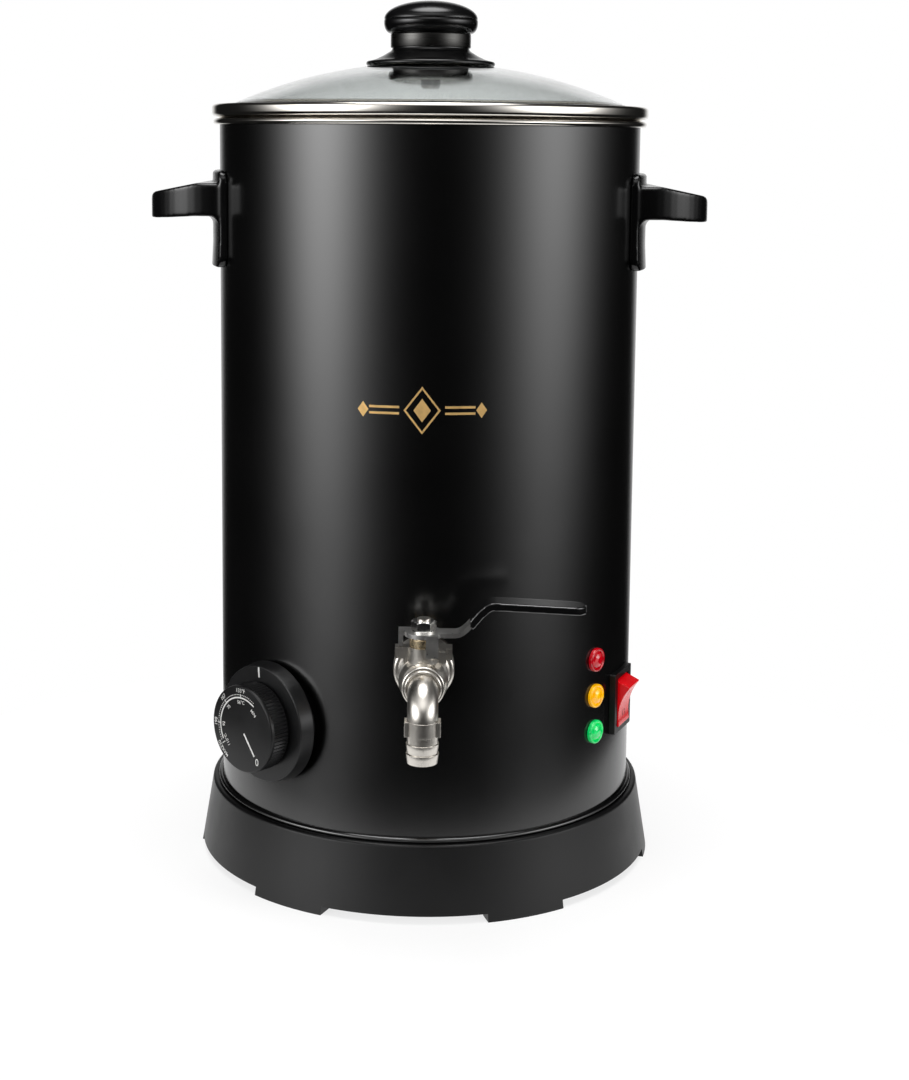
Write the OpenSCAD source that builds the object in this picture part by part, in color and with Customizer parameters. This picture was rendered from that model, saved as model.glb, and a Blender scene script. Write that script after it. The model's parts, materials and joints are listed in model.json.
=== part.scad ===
// Candle wax melter: a double-walled electric urn with a lever ball valve.
// Millimetres, +Z up, front at -Y. The origin is on the worktop, on the body's axis.

/* [Shell and pot] */
// Outer radius of the painted shell
shell_r = 105; // [95:1:120]
// Sheet thickness of the shell
shell_wall = 0.8; // [0.6:0.1:1.2]
// Height of the shell above the base ring
shell_h = 331; // [260:1:400]
// Air gap between shell and pot
pot_gap = 4.2; // [3.5:0.1:8]
// Sheet thickness of the pot
pot_wall = 0.8; // [0.6:0.1:1.2]
// Height of the pot's floor above the base ring
pot_floor_h = 72; // [70:1:80]
// Inner radius of the corner between the pot's floor and its wall
pot_corner_r = 28; // [24:1:30]
// Tube radius of the pot's rolled rim
rim_bead_r = 1.5; // [1.2:0.1:2]

/* [Base ring] */
// Height from the worktop to the foot of the shell
base_h = 38.4; // [34:0.2:46]
// How far the base's shoulder stands out past the shell
base_margin = 5.2; // [4.6:0.1:8]
// How much further the skirt stands out at its foot
skirt_flare = 5.8; // [3:0.1:9]
// Wall thickness of the base moulding
base_wall = 2.6; // [2:0.1:3.5]
// Height of the feet under the skirt
foot_h = 4; // [3:0.5:6]
// Number of feet
foot_count = 6; // [4:1:8]
// Angle that each foot takes up
foot_angle = 20; // [14:1:30]
// Direction of the first foot, from the front
foot_phase = 25.6; // [15:0.1:40]
// How far the base screws sit inside the shell's outer face
base_screw_inset = 8; // [7:0.5:11]
// Number of base screws
base_screw_count = 4; // [3:1:6]

/* [Lid] */
// How far the lid's steel band stands out past the shell
lid_overhang = 3.8; // [3:0.1:5]
// Height of the lid's steel band
lid_band_h = 6.6; // [6:0.1:8]
// Sheet thickness of the lid's band
lid_band_t = 0.8; // [0.6:0.1:1]
// Height of the dome's top above the pot's rim
dome_h = 28.5; // [26:0.5:34]
// Thickness of the glass
glass_t = 3.6; // [3:0.1:4.5]
// Radius of the lid knob at its widest
knob_r = 23.4; // [21:0.1:26]
// Radius of the knob's flared skirt
knob_skirt_r = 32.2; // [28:0.1:35]
// How far the lid can be lifted off
lid_lift = 120; // [60:10:200]

/* [Handles] */
// How far the handles' plates end below the shell's top
handle_drop = 22; // [20:1:60]
// Height of a handle's plate
handle_plate_h = 47; // [44:1:56]
// Width of a handle's plate
handle_plate_w = 78; // [70:1:84]
// Thickness of a handle's plate
handle_plate_t = 3.6; // [3:0.1:6]
// How far the grip stands out from the shell
grip_reach = 34; // [30:1:42]
// Width of the grip
grip_w = 77; // [64:1:80]
// Depth of the grip from its top to its lower edge, at the plate
grip_h = 16; // [13:0.5:18]
// Height of the grip's lower edge above the plate's lower edge
grip_z = 25; // [23:0.5:30]

/* [Valve and spout] */
// Height of the valve's axis above the base ring
valve_z = 85; // [83:0.5:92]
// Distance of the valve's stem from the shell
stem_reach = 29; // [27.5:0.5:35]
// Radius of the valve's rear flange
valve_flange_r = 14; // [13:0.1:16]
// Radius of the ball
ball_r = 8; // [7:0.1:8.5]
// Radius of the bore through ball, valve and spout
flow_r = 4.8; // [4:0.1:5.2]
// Radius of the outlet nipple's thread
nipple_r = 8.3; // [8:0.1:9]
// Outer radius of the spout's pipe
spout_r = 6.8; // [6.2:0.1:7.2]
// Distance of the spout from the valve's stem
spout_reach = 26; // [25:0.5:32]
// Radius of the spout's bend at its centre line
spout_bend_r = 10; // [9.5:0.5:12]
// Height of the plain neck above the hose barbs
barb_neck_h = 3.5; // [2.5:0.1:6]
// Radius of the hose barbs
barb_r = 7.2; // [7.1:0.05:7.6]
// Height of one hose barb
barb_h = 4.4; // [3.5:0.1:5]
// Number of hose barbs
barb_count = 2; // [2:1:4]
// Thickness of the lever's steel strap
lever_t = 2; // [1.5:0.1:2.5]
// Height of the lever's plate above the valve's axis
lever_z = 20.6; // [20.4:0.1:24]
// Length of the lever from the stem to its tip
lever_l = 71.5; // [60:0.5:90]
// How far the lever's grip lies above its plate
lever_rise = 13.6; // [8:0.2:18]
// Width of the lever's grip, without the sleeve
lever_w = 11; // [9:0.5:14]
// Thickness of the lever's vinyl sleeve
sleeve_t = 0.8; // [0.5:0.1:1.2]

/* [Controls] */
// Direction of the dial, from the front
dial_azimuth = -42.5; // [-50:0.5:-35]
// Height of the dial above the base ring
dial_z = 48; // [46:0.5:56]
// Radius of the dial's escutcheon at its face
bezel_r = 28; // [26:0.5:34]
// Distance of the escutcheon's face from the shell
bezel_h = 10; // [9:0.5:14]
// Radius of the dial knob
dial_r = 21; // [19:0.5:26]
// Height of the dial knob
dial_h = 11; // [9:0.5:14]
// Number of ribs round the dial knob
dial_rib_count = 72; // [36:6:96]
// Direction of the indicator lamps, from the front
lamp_azimuth = 52; // [46:0.5:53]
// Height of the lowest lamp above the base ring
lamp_z = 39.5; // [36:0.5:44]
// Distance between the lamps
lamp_pitch = 18; // [16:0.5:18.5]
// Radius of a lamp's flange
lamp_r = 5.8; // [5.5:0.1:7]
// Direction of the rocker switch, from the front
switch_azimuth = 67; // [65:0.5:72]
// Height of the switch above the base ring
switch_z = 49; // [46:0.5:54]
// Width of the switch's frame
switch_w = 25.2; // [24:0.1:27]
// Height of the switch's frame
switch_h = 30.6; // [29:0.1:33]
// Tilt of the rocker to either side
rocker_tilt = 14; // [10:0.5:15]
// Height of the power inlet above the base ring
inlet_z = 38; // [30:0.5:44]

/* [Clearances] */
// Radial clearance of a turning shaft in its hole
shaft_clear = 0.08; // [0.05:0.01:0.1]
// Gap between pieces that are only laid together
seat_clear = 0.1; // [0.05:0.01:0.2]
// Gap between pieces that move past one another
move_clear = 0.3; // [0.3:0.05:0.5]

/* [Hidden] */
$fn = 72;

// Colours, as the finishes look from a step away
paint_black = [0.10, 0.10, 0.11];
plastic_black = [0.14, 0.14, 0.15];
gloss_black = [0.06, 0.06, 0.07];
steel = [0.74, 0.74, 0.73];
nickel = [0.78, 0.76, 0.72];
brass_tone = [0.80, 0.68, 0.45];
white_seal = [0.92, 0.92, 0.90];

// Shell and pot
shell_in = shell_r - shell_wall;
pot_out = shell_in - pot_gap;
pot_in = pot_out - pot_wall;
shell_top = base_h + shell_h;
rim_top = shell_top + 2 * rim_bead_r + 0.4;
pot_floor = base_h + pot_floor_h;
rim_bead_c = shell_r + rim_bead_r + seat_clear;
hem_r = 1.4;
hem_c = shell_r + 0.9;
hem_z = base_h - 1.1;
hem_seat_z = hem_z - hem_r - seat_clear;

// Reach of the cuts through the shell, from the body's axis
cut_from = shell_r - 25;
cut_to = shell_r + 15;

// Base ring
base_screw_circle_r = shell_r - base_screw_inset;
shoulder_r = shell_r + base_margin;
skirt_r = shoulder_r + skirt_flare;
shoulder_z = base_h - 1.9;
shoulder_round = 1.6;
base_flange_t = 3;
base_flange_r = base_screw_circle_r - 4;
spigot_t = 2.2;
spigot_h = 8;
plate_z = foot_h + 5;
plate_t = 1;
boss_r = 4.2;
base_screw_r = 1.75;
base_screw_l = 12;

// Lid
band_r = shell_r + lid_overhang;
band_gap = 1;
glass_edge_z = rim_top + band_gap + lid_band_t + seat_clear;
glass_edge_t = lid_band_h - 0.6 - 2 * lid_band_t - 0.2;
glass_edge_r = band_r - 2.2;
dome_r = band_r - 10.8;
lid_step_r = pot_in - 1.4;
lid_step_h = 5;
dome_top = rim_top + dome_h;
// The dome's curve runs from its top to just above the flat edge of the glass
dome_rise = dome_top - glass_edge_z - glass_edge_t - 1.5;
dome_sphere_r = (pow(dome_r, 2) + pow(dome_rise, 2)) / (2 * dome_rise);
dome_c = dome_top - dome_sphere_r;
glass_hole_r = 4;
lid_screw_r = 2.5;
skirt_z = dome_c + sqrt(pow(dome_sphere_r, 2) - pow(knob_skirt_r - 1.2, 2));
skirt_h = 9.2;
collar_r = knob_r - 3.4;
collar_h = 6.8;
knob_h = 7;
cap_h = 9.4;
knob_seam = 0.4;
seat_r = knob_r - 1.7;
seat_h = 3.5;
seat_foot_h = 1.1;
washer_r = seat_r - 1.6;
lid_washer_t = 1.2;
collar_z = skirt_z + skirt_h;
knob_z = collar_z + collar_h;
cap_z = knob_z + knob_h;

// Valve, measured out from the body's axis along its bore
valve_h = base_h + valve_z;
stem_d = shell_r + stem_reach;
flange_in = shell_r + 2.6;
flange_out = flange_in + 12;
body_out = stem_d + 13;
cap_out = body_out + 1.6;
cavity_r = ball_r + move_clear;
seat_back = ball_r + 1;
seat_front = ball_r - 2;
body_r = 11.2;
end_cap_r = 9.6;
boss_top = lever_z - 4.8;
packing_top = lever_z - 0.8;
stem_r = 4.4;
thread_r = 3;
lug_top = 15.1;
lug_bottom = 10;
washer_t = 0.6;
nut_h = 4.5;
nut_af = 10;
nipple_in = shell_r - 6.4;
nipple_out = flange_in + 9.5;
socket_r = 11;
ear_t = lever_t;
lever_plate_r = 8.4;
lever_root_x = 14;
lever_bend_x = 31.5;
lever_drop = 1.9;
lever_step = 1.25;
sleeve_start_x = 20.5;

// Spout
spout_d = stem_d + spout_reach;
spout_top = valve_h - spout_bend_r;
collar_ring_h = 6.8;
collar_ring_end = spout_top - collar_ring_h;
barb_top = collar_ring_end - barb_neck_h;
spout_end = barb_top - barb_count * barb_h;
barb_land = 0.9;
barb_root_r = spout_r - 0.1;

// Dial
dial_h0 = base_h + dial_z;
bezel_face = shell_r + bezel_h;
bezel_back = shell_r + 2.2;
bezel_back_r = bezel_r + 1;
bezel_wall = 2.4;
bezel_boss_r = bezel_r - 4;
dial_face = bezel_face + 1 + dial_h;
dial_hub_r = 6.5;
dial_wall = 2;
shaft_r = 3;
shaft_flat = 0.8;
dial_screw_x = 14;
dial_screw_r = 2;
thermostat_w = 42;
thermostat_h = 34;
thermostat_d = 25;
thermostat_front = shell_r - 4.6;
thermostat_rear = thermostat_front - thermostat_d - 0.9;

// Heater
heater_r = 62;
heater_t = 6;
heater_top = pot_floor - pot_wall - seat_clear;
heater_z = heater_top - heater_t;
element_r = 48;
element_tube_r = 3.3;
element_gap = 40;
stud_r = 3;
stud_boss_r = 8;
stud_boss_h = 7;
cutout_x = 27;
bulb_y = 28;
bulb_r = 3;
bulb_l = 52;
m3_r = 1.5;
cutout_screw_l = 5;
clip_screw_l = 11;

// Lamps
lens_tube_r = lamp_r - 1.3;
lens_rise = 1.5;
holder_in = shell_r - 8.8;

// Switch
rocker_w = switch_w - 8.6;
rocker_h = switch_h - 6;
switch_face = shell_r + 2.4;
switch_body_w = switch_w - 3.6;
switch_body_h = switch_h - 3.4;
switch_back = shell_r - 21;
rocker_pivot = switch_face - 4.4;
rocker_half = rocker_h / 2 - 1.8;
rocker_tip = 7.9;
trunnion_r = 1.5;

// Power inlet
inlet_w = 31;
inlet_h = 24.6;
inlet_face = shell_r + 2.2;
inlet_body_w = 27;
inlet_body_h = 19.6;
inlet_cavity_w = 24;
inlet_cavity_h = 16.4;
inlet_depth = 17.6;
inlet_floor = inlet_face - inlet_depth;
pin_l = 13;
pin_gap = 7;

// Handles
plate_bottom = shell_top - handle_drop - handle_plate_h;
plate_corner_r = 5;
grip_bottom = plate_bottom + grip_z;
grip_top = grip_bottom + grip_h;
grip_tip = shell_r + grip_reach;
grip_corner_r = 0.42 * grip_w;
grip_slope = 4.4;
grip_droop = 2;
grip_edge_r = 1.4;
root_r = 5.5;
grip_wall = 3;
grip_root = shell_r + 12;
handle_screw_angle = 11;
handle_screw_r = 2;
handle_screw_z = grip_bottom + 7.4;
handle_hole_depth = 8;

// Points along an arc about [cx, cy]
function arc(cx, cy, r, from, to, n = 8) =
    [for (i = [0:n]) let (a = from + (to - from) * i / n) [cx + r * cos(a), cy + r * sin(a)]];

// Height of the pot's outer or inner surface at a radius, in its rounded corner
function pot_corner_z(r, extra) =
    pot_floor + pot_corner_r - sqrt(pow(pot_corner_r + extra, 2) - pow(r - (pot_in - pot_corner_r), 2));

// Puts a piece on the shell: x across, y up, z outwards from the body's axis
module on_shell(azimuth, height)
    rotate([0, 0, azimuth]) translate([0, 0, height]) rotate([90, 0, 0]) children();

// The shell's own curve in that place, for saddles
module shell_curve(r, tall = 120)
    rotate([90, 0, 0]) cylinder(r = r, h = tall, center = true, $fn = 144);

// A tube from one height to another
module tube(r_out, r_in, low, high)
    translate([0, 0, low]) difference() {
        cylinder(r = r_out, h = high - low);
        translate([0, 0, -1]) cylinder(r = r_in, h = high - low + 2);
    }

// A rod from one height to another
module rod(r, low, high)
    translate([0, 0, low]) cylinder(r = r, h = high - low);

module hex(across_flats, low, high)
    translate([0, 0, low]) cylinder(r = across_flats / 2 / cos(30), h = high - low, $fn = 6);

// A block centred in x and y
module block(w, d, low, high)
    translate([-w / 2, -d / 2, low]) cube([w, d, high - low]);

// A block with rounded upright edges
module round_block(w, d, r, low, high) {
    block(w - 2 * r, d, low, high);
    block(w, d - 2 * r, low, high);
    for (x = [-1, 1], y = [-1, 1])
        translate([x * (w / 2 - r), y * (d / 2 - r), 0]) rod(r, low, high);
}

// A pan-head screw: the head lies on the plane z = 0, the shank goes down
module pan_screw(r, length) {
    head_r = 2 * r;
    head_h = 1.2 * r;
    rod(r, -length, 0.2);
    difference() {
        rotate_extrude() polygon(concat([[0, 0], [head_r, 0]],
            arc(head_r - head_h * 0.6, head_h * 0.4, head_h * 0.6, 0, 90, 5), [[0, head_h]]));
        for (a = [0, 90]) rotate([0, 0, a]) block(head_r * 1.1, 0.8, head_h * 0.45, head_h + 1);
    }
}

// ---- Shell, pot and base ----

module outer_shell() color(paint_black) difference() {
    rotate_extrude($fn = 144) {
        translate([shell_in, hem_z]) square([shell_wall, rim_top - pot_wall - hem_z]);
        translate([hem_c, hem_z]) circle(r = hem_r, $fn = 24);
    }
    on_shell(0, valve_h) rod(nipple_r + 0.4, cut_from, cut_to);
    on_shell(dial_azimuth, dial_h0) {
        rod(shaft_r + 2.5, cut_from, cut_to);
        for (x = [-1, 1]) translate([x * dial_screw_x, 0, 0]) rod(dial_screw_r + 0.3, cut_from, cut_to);
    }
    for (i = [0:2]) on_shell(lamp_azimuth, base_h + lamp_z + i * lamp_pitch)
        rod(lens_tube_r + 0.2, cut_from, cut_to);
    on_shell(switch_azimuth, base_h + switch_z)
        block(switch_body_w + 0.4, switch_body_h + 0.4, cut_from, cut_to);
    on_shell(180, base_h + inlet_z) block(inlet_body_w + 0.4, inlet_body_h + 0.4, cut_from, cut_to);
    for (side = [-90, 90], a = [-1, 1])
        on_shell(side + a * handle_screw_angle, handle_screw_z) rod(handle_screw_r + 0.2, cut_from, cut_to);
}

module pot_inside(extra = 0) rotate_extrude($fn = 144) polygon(concat(
    [[0, pot_floor - extra]],
    arc(pot_in - pot_corner_r, pot_floor + pot_corner_r, pot_corner_r + extra, -90, 0, 12),
    [[pot_in + extra, rim_top + 1], [0, rim_top + 1]]));

module inner_pot() color(steel) difference() {
    rotate_extrude($fn = 144) {
        polygon(concat(
            [[0, pot_floor - pot_wall]],
            arc(pot_in - pot_corner_r, pot_floor + pot_corner_r, pot_corner_r + pot_wall, -90, 0, 12),
            [[pot_out, rim_top - pot_wall], [rim_bead_c, rim_top - pot_wall], [rim_bead_c, rim_top],
             [pot_in, rim_top]],
            arc(pot_in - pot_corner_r, pot_floor + pot_corner_r, pot_corner_r, 0, -90, 12),
            [[0, pot_floor]]));
        translate([rim_bead_c, rim_top - rim_bead_r]) circle(r = rim_bead_r, $fn = 32);
    }
    on_shell(0, valve_h) rod(socket_r + seat_clear, cut_from, cut_to);
}

// Inner radius of the skirt's wall at a height
function skirt_at(z) = skirt_r - skirt_flare * z / (shoulder_z - shoulder_round);

module base_ring() color(plastic_black) difference() {
    union() {
        rotate_extrude($fn = 144) polygon(concat(
            [[skirt_at(0) - base_wall, 0], [skirt_at(0), 0]],
            arc(shoulder_r - shoulder_round, shoulder_z - shoulder_round, shoulder_round, 0, 90, 6),
            [[hem_c + hem_r + 0.5, shoulder_z], [hem_c + hem_r + 0.5, hem_seat_z],
             [shell_in - 0.3, hem_seat_z], [shell_in - 0.3, hem_seat_z + spigot_h],
             [shell_in - 0.3 - spigot_t, hem_seat_z + spigot_h], [shell_in - 0.3 - spigot_t, hem_seat_z],
             [base_flange_r, hem_seat_z], [base_flange_r, hem_seat_z - base_flange_t],
             [skirt_at(hem_seat_z - base_flange_t) - base_wall, hem_seat_z - base_flange_t]]));
        for (i = [0:base_screw_count - 1]) rotate([0, 0, 45 + i * 360 / base_screw_count])
            translate([base_screw_circle_r, 0, 0]) rod(boss_r, plate_z + plate_t, hem_seat_z - 1);
        for (i = [0:foot_count - 1])
            rotate([0, 0, foot_phase - 91 - foot_angle / 2 + i * 360 / foot_count])
            rotate_extrude(angle = foot_angle + 2, $fn = 144)
                translate([skirt_at(0) - base_wall - 6, 0]) square([7, foot_h + 2]);
    }
    for (i = [0:foot_count - 1]) rotate([0, 0, foot_phase - 90 + foot_angle / 2 + i * 360 / foot_count])
        rotate_extrude(angle = 360 / foot_count - foot_angle, $fn = 144)
            translate([skirt_r - 20, -1]) square([40, foot_h + 1]);
    for (i = [0:base_screw_count - 1]) rotate([0, 0, 45 + i * 360 / base_screw_count])
        translate([base_screw_circle_r, 0, 0]) rod(base_screw_r + 0.05, plate_z - 1, hem_seat_z - 4);
}

plate_r = skirt_at(plate_z + 8) - base_wall - 1.4;

module bottom_plate() color(steel) difference() {
    union() {
        rod(plate_r, plate_z, plate_z + plate_t);
        tube(plate_r, plate_r - plate_t, plate_z, plate_z + 6);
    }
    for (i = [0:base_screw_count - 1]) rotate([0, 0, 45 + i * 360 / base_screw_count])
        translate([base_screw_circle_r, 0, 0]) rod(base_screw_r + 0.3, plate_z - 1, plate_z + 7);
    rod(stud_r + 0.3, plate_z - 1, plate_z + 7);
    for (i = [0:17]) rotate([0, 0, i * 20]) translate([68, 0, 0]) vent_slot(22);
    for (i = [0:8]) rotate([0, 0, 10 + i * 40]) translate([34, 0, 0]) vent_slot(16);
}

module vent_slot(length) {
    block(length, 4, plate_z - 1, plate_z + 2);
    for (x = [-1, 1]) translate([x * length / 2, 0, 0]) rod(2, plate_z - 1, plate_z + 2);
}

module base_screws() color(steel)
    for (i = [0:base_screw_count - 1]) rotate([0, 0, 45 + i * 360 / base_screw_count])
        translate([base_screw_circle_r, 0, plate_z]) rotate([180, 0, 0])
            pan_screw(base_screw_r, base_screw_l);

module tie_stud() color(steel) {
    rod(stud_r, plate_z - 6, heater_z - stud_boss_h + 9);
}

module tie_nut() color(steel) difference() {
    hex(10, plate_z - 5, plate_z);
    rod(stud_r + 0.02, plate_z - 8, plate_z + 1);
}

// ---- Heater and thermostat ----

module heater_plate() color([0.7, 0.7, 0.7]) difference() {
    union() {
        rod(heater_r, heater_z, heater_top);
        rod(stud_boss_r, heater_z - stud_boss_h, heater_z + 1);
    }
    translate([0, 0, heater_z]) rotate_extrude() translate([element_r, 0])
        circle(r = element_tube_r + seat_clear, $fn = 32);
    rod(stud_r + 0.02, heater_z - stud_boss_h - 1, heater_top - 2);
    heater_screw_places() rod(m3_r + 0.02, -5, 20);
}

// Places of the four M3 screws, on the heater plate's lower face
module heater_screw_places() translate([0, 0, heater_z]) {
    for (y = [-1, 1]) translate([cutout_x, y * 12, 0]) children();
    for (y = [-1, 1]) translate([0, bulb_y + y * 7, 0]) children();
}

module heater_element() color([0.35, 0.34, 0.33]) {
    translate([0, 0, heater_z]) rotate([0, 0, -90 + element_gap / 2])
        rotate_extrude(angle = 360 - element_gap) translate([element_r, 0])
            circle(r = element_tube_r, $fn = 32);
    for (a = [-1, 1]) rotate([0, 0, -90 + a * element_gap / 2]) translate([element_r, 0, 0]) {
        rod(element_tube_r, heater_z - 14, heater_z);
        rod(1.2, heater_z - 22, heater_z - 14);
    }
}

module thermal_cutout() color([0.85, 0.83, 0.78]) translate([cutout_x, 0, heater_z]) {
    rod(8, -9, -seat_clear);
    difference() {
        union() {
            block(9, 24, -1.2, -seat_clear);
            for (y = [-1, 1]) translate([0, y * 12, 0]) rod(4.5, -1.2, -seat_clear);
        }
        for (y = [-1, 1]) translate([0, y * 12, 0]) rod(m3_r + 0.2, -3, 2);
    }
    for (y = [-1, 1]) translate([0, y * 4, 0]) block(6.3, 0.8, -17, -9);
}

module heater_screws() color(steel) {
    for (y = [-1, 1]) translate([cutout_x, y * 12, heater_z - 1.2]) rotate([180, 0, 0])
        pan_screw(m3_r, cutout_screw_l);
    for (y = [-1, 1]) translate([0, bulb_y + y * 7, heater_z - 2 * bulb_r - 1.1]) rotate([180, 0, 0])
        pan_screw(m3_r, clip_screw_l);
}

capillary = [
    [-bulb_l / 2, bulb_y, heater_z - bulb_r - 0.2], [-34, 26, heater_z - 8], [-52, 8, heater_z - 14],
    [-58, -20, heater_z - 18],
    [thermostat_rear * sin(dial_azimuth), -thermostat_rear * cos(dial_azimuth), heater_z - 18]
];

module sensor_bulb() color([0.80, 0.55, 0.38]) {
    translate([0, bulb_y, heater_z - bulb_r - 0.2]) rotate([0, 90, 0]) rotate_extrude() polygon(concat(
        [[0, -bulb_l / 2]], arc(0, bulb_r - bulb_l / 2, bulb_r, -80, 0),
        arc(0, bulb_l / 2 - bulb_r, bulb_r, 0, 80), [[0, bulb_l / 2]]));
    for (i = [0:len(capillary) - 2]) rod_between(capillary[i], capillary[i + 1], 0.8);
    for (i = [1:len(capillary) - 2]) translate(capillary[i]) sphere(r = 1, $fn = 24);
}

// A rod between two points
module rod_between(p, q, r) {
    d = q - p;
    translate(p) rotate([0, acos(d[2] / norm(d)), atan2(d[1], d[0])]) cylinder(r = r, h = norm(d), $fn = 24);
}

module bulb_clip() color(steel) translate([0, bulb_y, heater_z]) difference() {
    union() {
        block(8, 21, -2 * bulb_r - 1.1, -2 * bulb_r - 0.3);
        for (y = [-1, 1]) translate([0, y * 7, 0]) rod(2.6, -2 * bulb_r - 0.4, -seat_clear);
    }
    for (y = [-1, 1]) translate([0, y * 7, 0]) rod(m3_r + 0.1, -12, 2);
}

module thermostat_body() color([0.90, 0.88, 0.82]) on_shell(dial_azimuth, dial_h0) difference() {
    union() {
        round_block(thermostat_w - 6, thermostat_h, 2, thermostat_front - thermostat_d,
            thermostat_front - 1.2);
        round_block(thermostat_w, 18, 2, thermostat_front - 1.2, thermostat_front);
        rod(5, thermostat_front - 2, shell_in - seat_clear);
        for (x = [-1, 1], y = [-1, 1]) translate([x * 12, y * 8, 0])
            block(0.8, 6.3, thermostat_front - thermostat_d - 8, thermostat_front - thermostat_d + 1);
    }
    rod(shaft_r + shaft_clear, thermostat_front - 9, shell_r + 1);
    for (x = [-1, 1]) translate([x * dial_screw_x, 0, 0])
        rod(dial_screw_r + 0.02, thermostat_front - 8, shell_r + 1);
}

module thermostat_shaft() color(steel) on_shell(dial_azimuth, dial_h0) difference() {
    rod(shaft_r, thermostat_front - 8.5, dial_face - 4);
    translate([-10, shaft_r - shaft_flat, bezel_face + 1]) cube([20, 10, 30]);
}

// ---- Dial ----

module dial_screws() color(steel) on_shell(dial_azimuth, dial_h0)
    for (x = [-1, 1]) translate([x * dial_screw_x, 0, bezel_face - bezel_wall])
        pan_screw(dial_screw_r, bezel_face - bezel_wall - thermostat_front + 6);

module dial_bezel() color(gloss_black) on_shell(dial_azimuth, dial_h0) difference() {
    union() {
        rotate_extrude() polygon(concat(
            [[0, bezel_back], [bezel_back_r - 0.4, bezel_back], [bezel_back_r, bezel_back + 0.6]],
            arc(bezel_r - 0.6, bezel_face - 0.6, 0.6, 10, 90, 4), [[0, bezel_face]]));
        rod(bezel_boss_r, shell_r - 6, bezel_back + 1);
    }
    shell_curve(shell_r + seat_clear);
    // Hollow of the moulding, with its hub and screw pillars left standing
    difference() {
        rod(bezel_boss_r - bezel_wall, shell_r - 10, bezel_face - bezel_wall);
        rod(8, 0, bezel_face + 1);
        for (x = [-1, 1]) translate([x * dial_screw_x, 0, 0]) rod(5, 0, bezel_face + 1);
    }
    // Well behind the knob
    rod(dial_r - 2.5, bezel_face - bezel_wall + 1, bezel_face + 1);
    for (x = [-1, 1]) translate([x * dial_screw_x, 0, 0]) {
        rod(dial_screw_r + 0.2, cut_from, bezel_face + 1);
        rod(2 * dial_screw_r + 0.4, bezel_face - bezel_wall, bezel_face + 1);
    }
    rod(shaft_r + 2, cut_from, bezel_face + 1);
}

module dial_knob() color(gloss_black) on_shell(dial_azimuth, dial_h0) {
    low = bezel_face + 1;
    rib = 0.55;
    difference() {
        union() {
            translate([0, 0, low + 0.8]) linear_extrude(height = dial_h - 2.6) polygon([
                for (i = [0:2 * dial_rib_count - 1])
                    let (r = dial_r - (i % 2) * rib, a = i * 180 / dial_rib_count) [r * cos(a), r * sin(a)]]);
            rod(dial_r - rib, low, low + 1);
            rotate_extrude() polygon(concat([[0, dial_face - 2], [dial_r - 0.1, dial_face - 2]],
                arc(dial_r - 0.9, dial_face - 0.8, 0.8, 0, 90, 4), [[0, dial_face]]));
        }
        tube(dial_r - dial_wall - rib, dial_hub_r, low - 1, dial_face - dial_wall);
        difference() {
            rod(shaft_r + 0.05, low - 1, dial_face - 3.9);
            translate([-10, shaft_r - shaft_flat + 0.05, 0]) cube([20, 10, 200]);
        }
    }
}

// ---- Outlet and ball valve ----

module outlet_socket() color(steel) difference() {
    on_shell(0, valve_h) difference() {
        rod(socket_r, cut_from, shell_r - 1.8);
        rod(nipple_r + 0.02, nipple_in - seat_clear, shell_r);
        rod(nipple_r - 2, cut_from - 10, shell_r);
    }
    pot_inside();
}

module outlet_nipple() color(steel) on_shell(0, valve_h)
    tube(nipple_r, nipple_r - 2.3, nipple_in, nipple_out);

module outlet_gasket() color([0.75, 0.22, 0.16]) on_shell(0, valve_h) difference() {
    tube(valve_flange_r - 1, nipple_r + seat_clear, shell_r - 2, flange_in - seat_clear);
    shell_curve(shell_r + 0.02);
}

module valve_body() color(nickel) on_shell(0, valve_h) difference() {
    union() {
        rotate_extrude() polygon(concat(
            [[0, flange_in], [valve_flange_r - 1, flange_in], [valve_flange_r, flange_in + 1]],
            arc(valve_flange_r - 1.5, flange_out - 1.5, 1.5, 0, 90, 4),
            [[body_r, flange_out], [body_r, flange_out + 1.5], [body_r + 0.7, flange_out + 2.2],
             [body_r + 0.7, flange_out + 4], [body_r, flange_out + 4.8], [body_r, stem_d + 2],
             [end_cap_r, stem_d + 5.5], [end_cap_r - 0.5, stem_d + 6.4], [end_cap_r - 0.5, stem_d + 7],
             [end_cap_r, stem_d + 7.4]],
            arc(end_cap_r - 0.8, body_out - 0.8, 0.8, 0, 90, 4), [[0, body_out]]));
        // Packing boss, upright over the ball
        translate([0, 0, stem_d]) rotate([-90, 0, 0]) cylinder(r = 6.9, h = boss_top);
        // Stop lugs left and right of the boss: the right one has a nose in front
        translate([-12.8, lug_bottom, stem_d - 5.5]) cube([8, lug_top - lug_bottom, 6.2]);
        translate([4.8, lug_bottom, stem_d - 5.5]) cube([8, lug_top - lug_bottom, 8.5]);
        translate([6.6 + move_clear, lug_bottom, stem_d]) cube([3.2, lug_top - lug_bottom, 8]);
        translate([-9, 0, stem_d - 5.5]) cube([18, lug_bottom + 0.5, 6]);
    }
    rod(nipple_r + 0.02, flange_in - 1, nipple_out + seat_clear);
    rod(flow_r, flange_in, cap_out);
    rod(cavity_r, stem_d - seat_back, body_out + 1);
    translate([0, 0, stem_d]) rotate([-90, 0, 0]) {
        cylinder(r = stem_r + shaft_clear, h = 40);
        translate([0, 0, boss_top - 2.2]) cylinder(r = 5.6, h = 10);
    }
}

// PTFE rings that the ball turns between
module valve_seats() color(white_seal) on_shell(0, valve_h) difference() {
    union() {
        tube(cavity_r - 0.02, flow_r, stem_d - seat_back + 0.02, stem_d - seat_front);
        tube(cavity_r - 0.02, flow_r, stem_d + seat_front, stem_d + seat_back - 0.02);
    }
    translate([0, 0, stem_d]) sphere(r = ball_r + move_clear);
}

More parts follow.
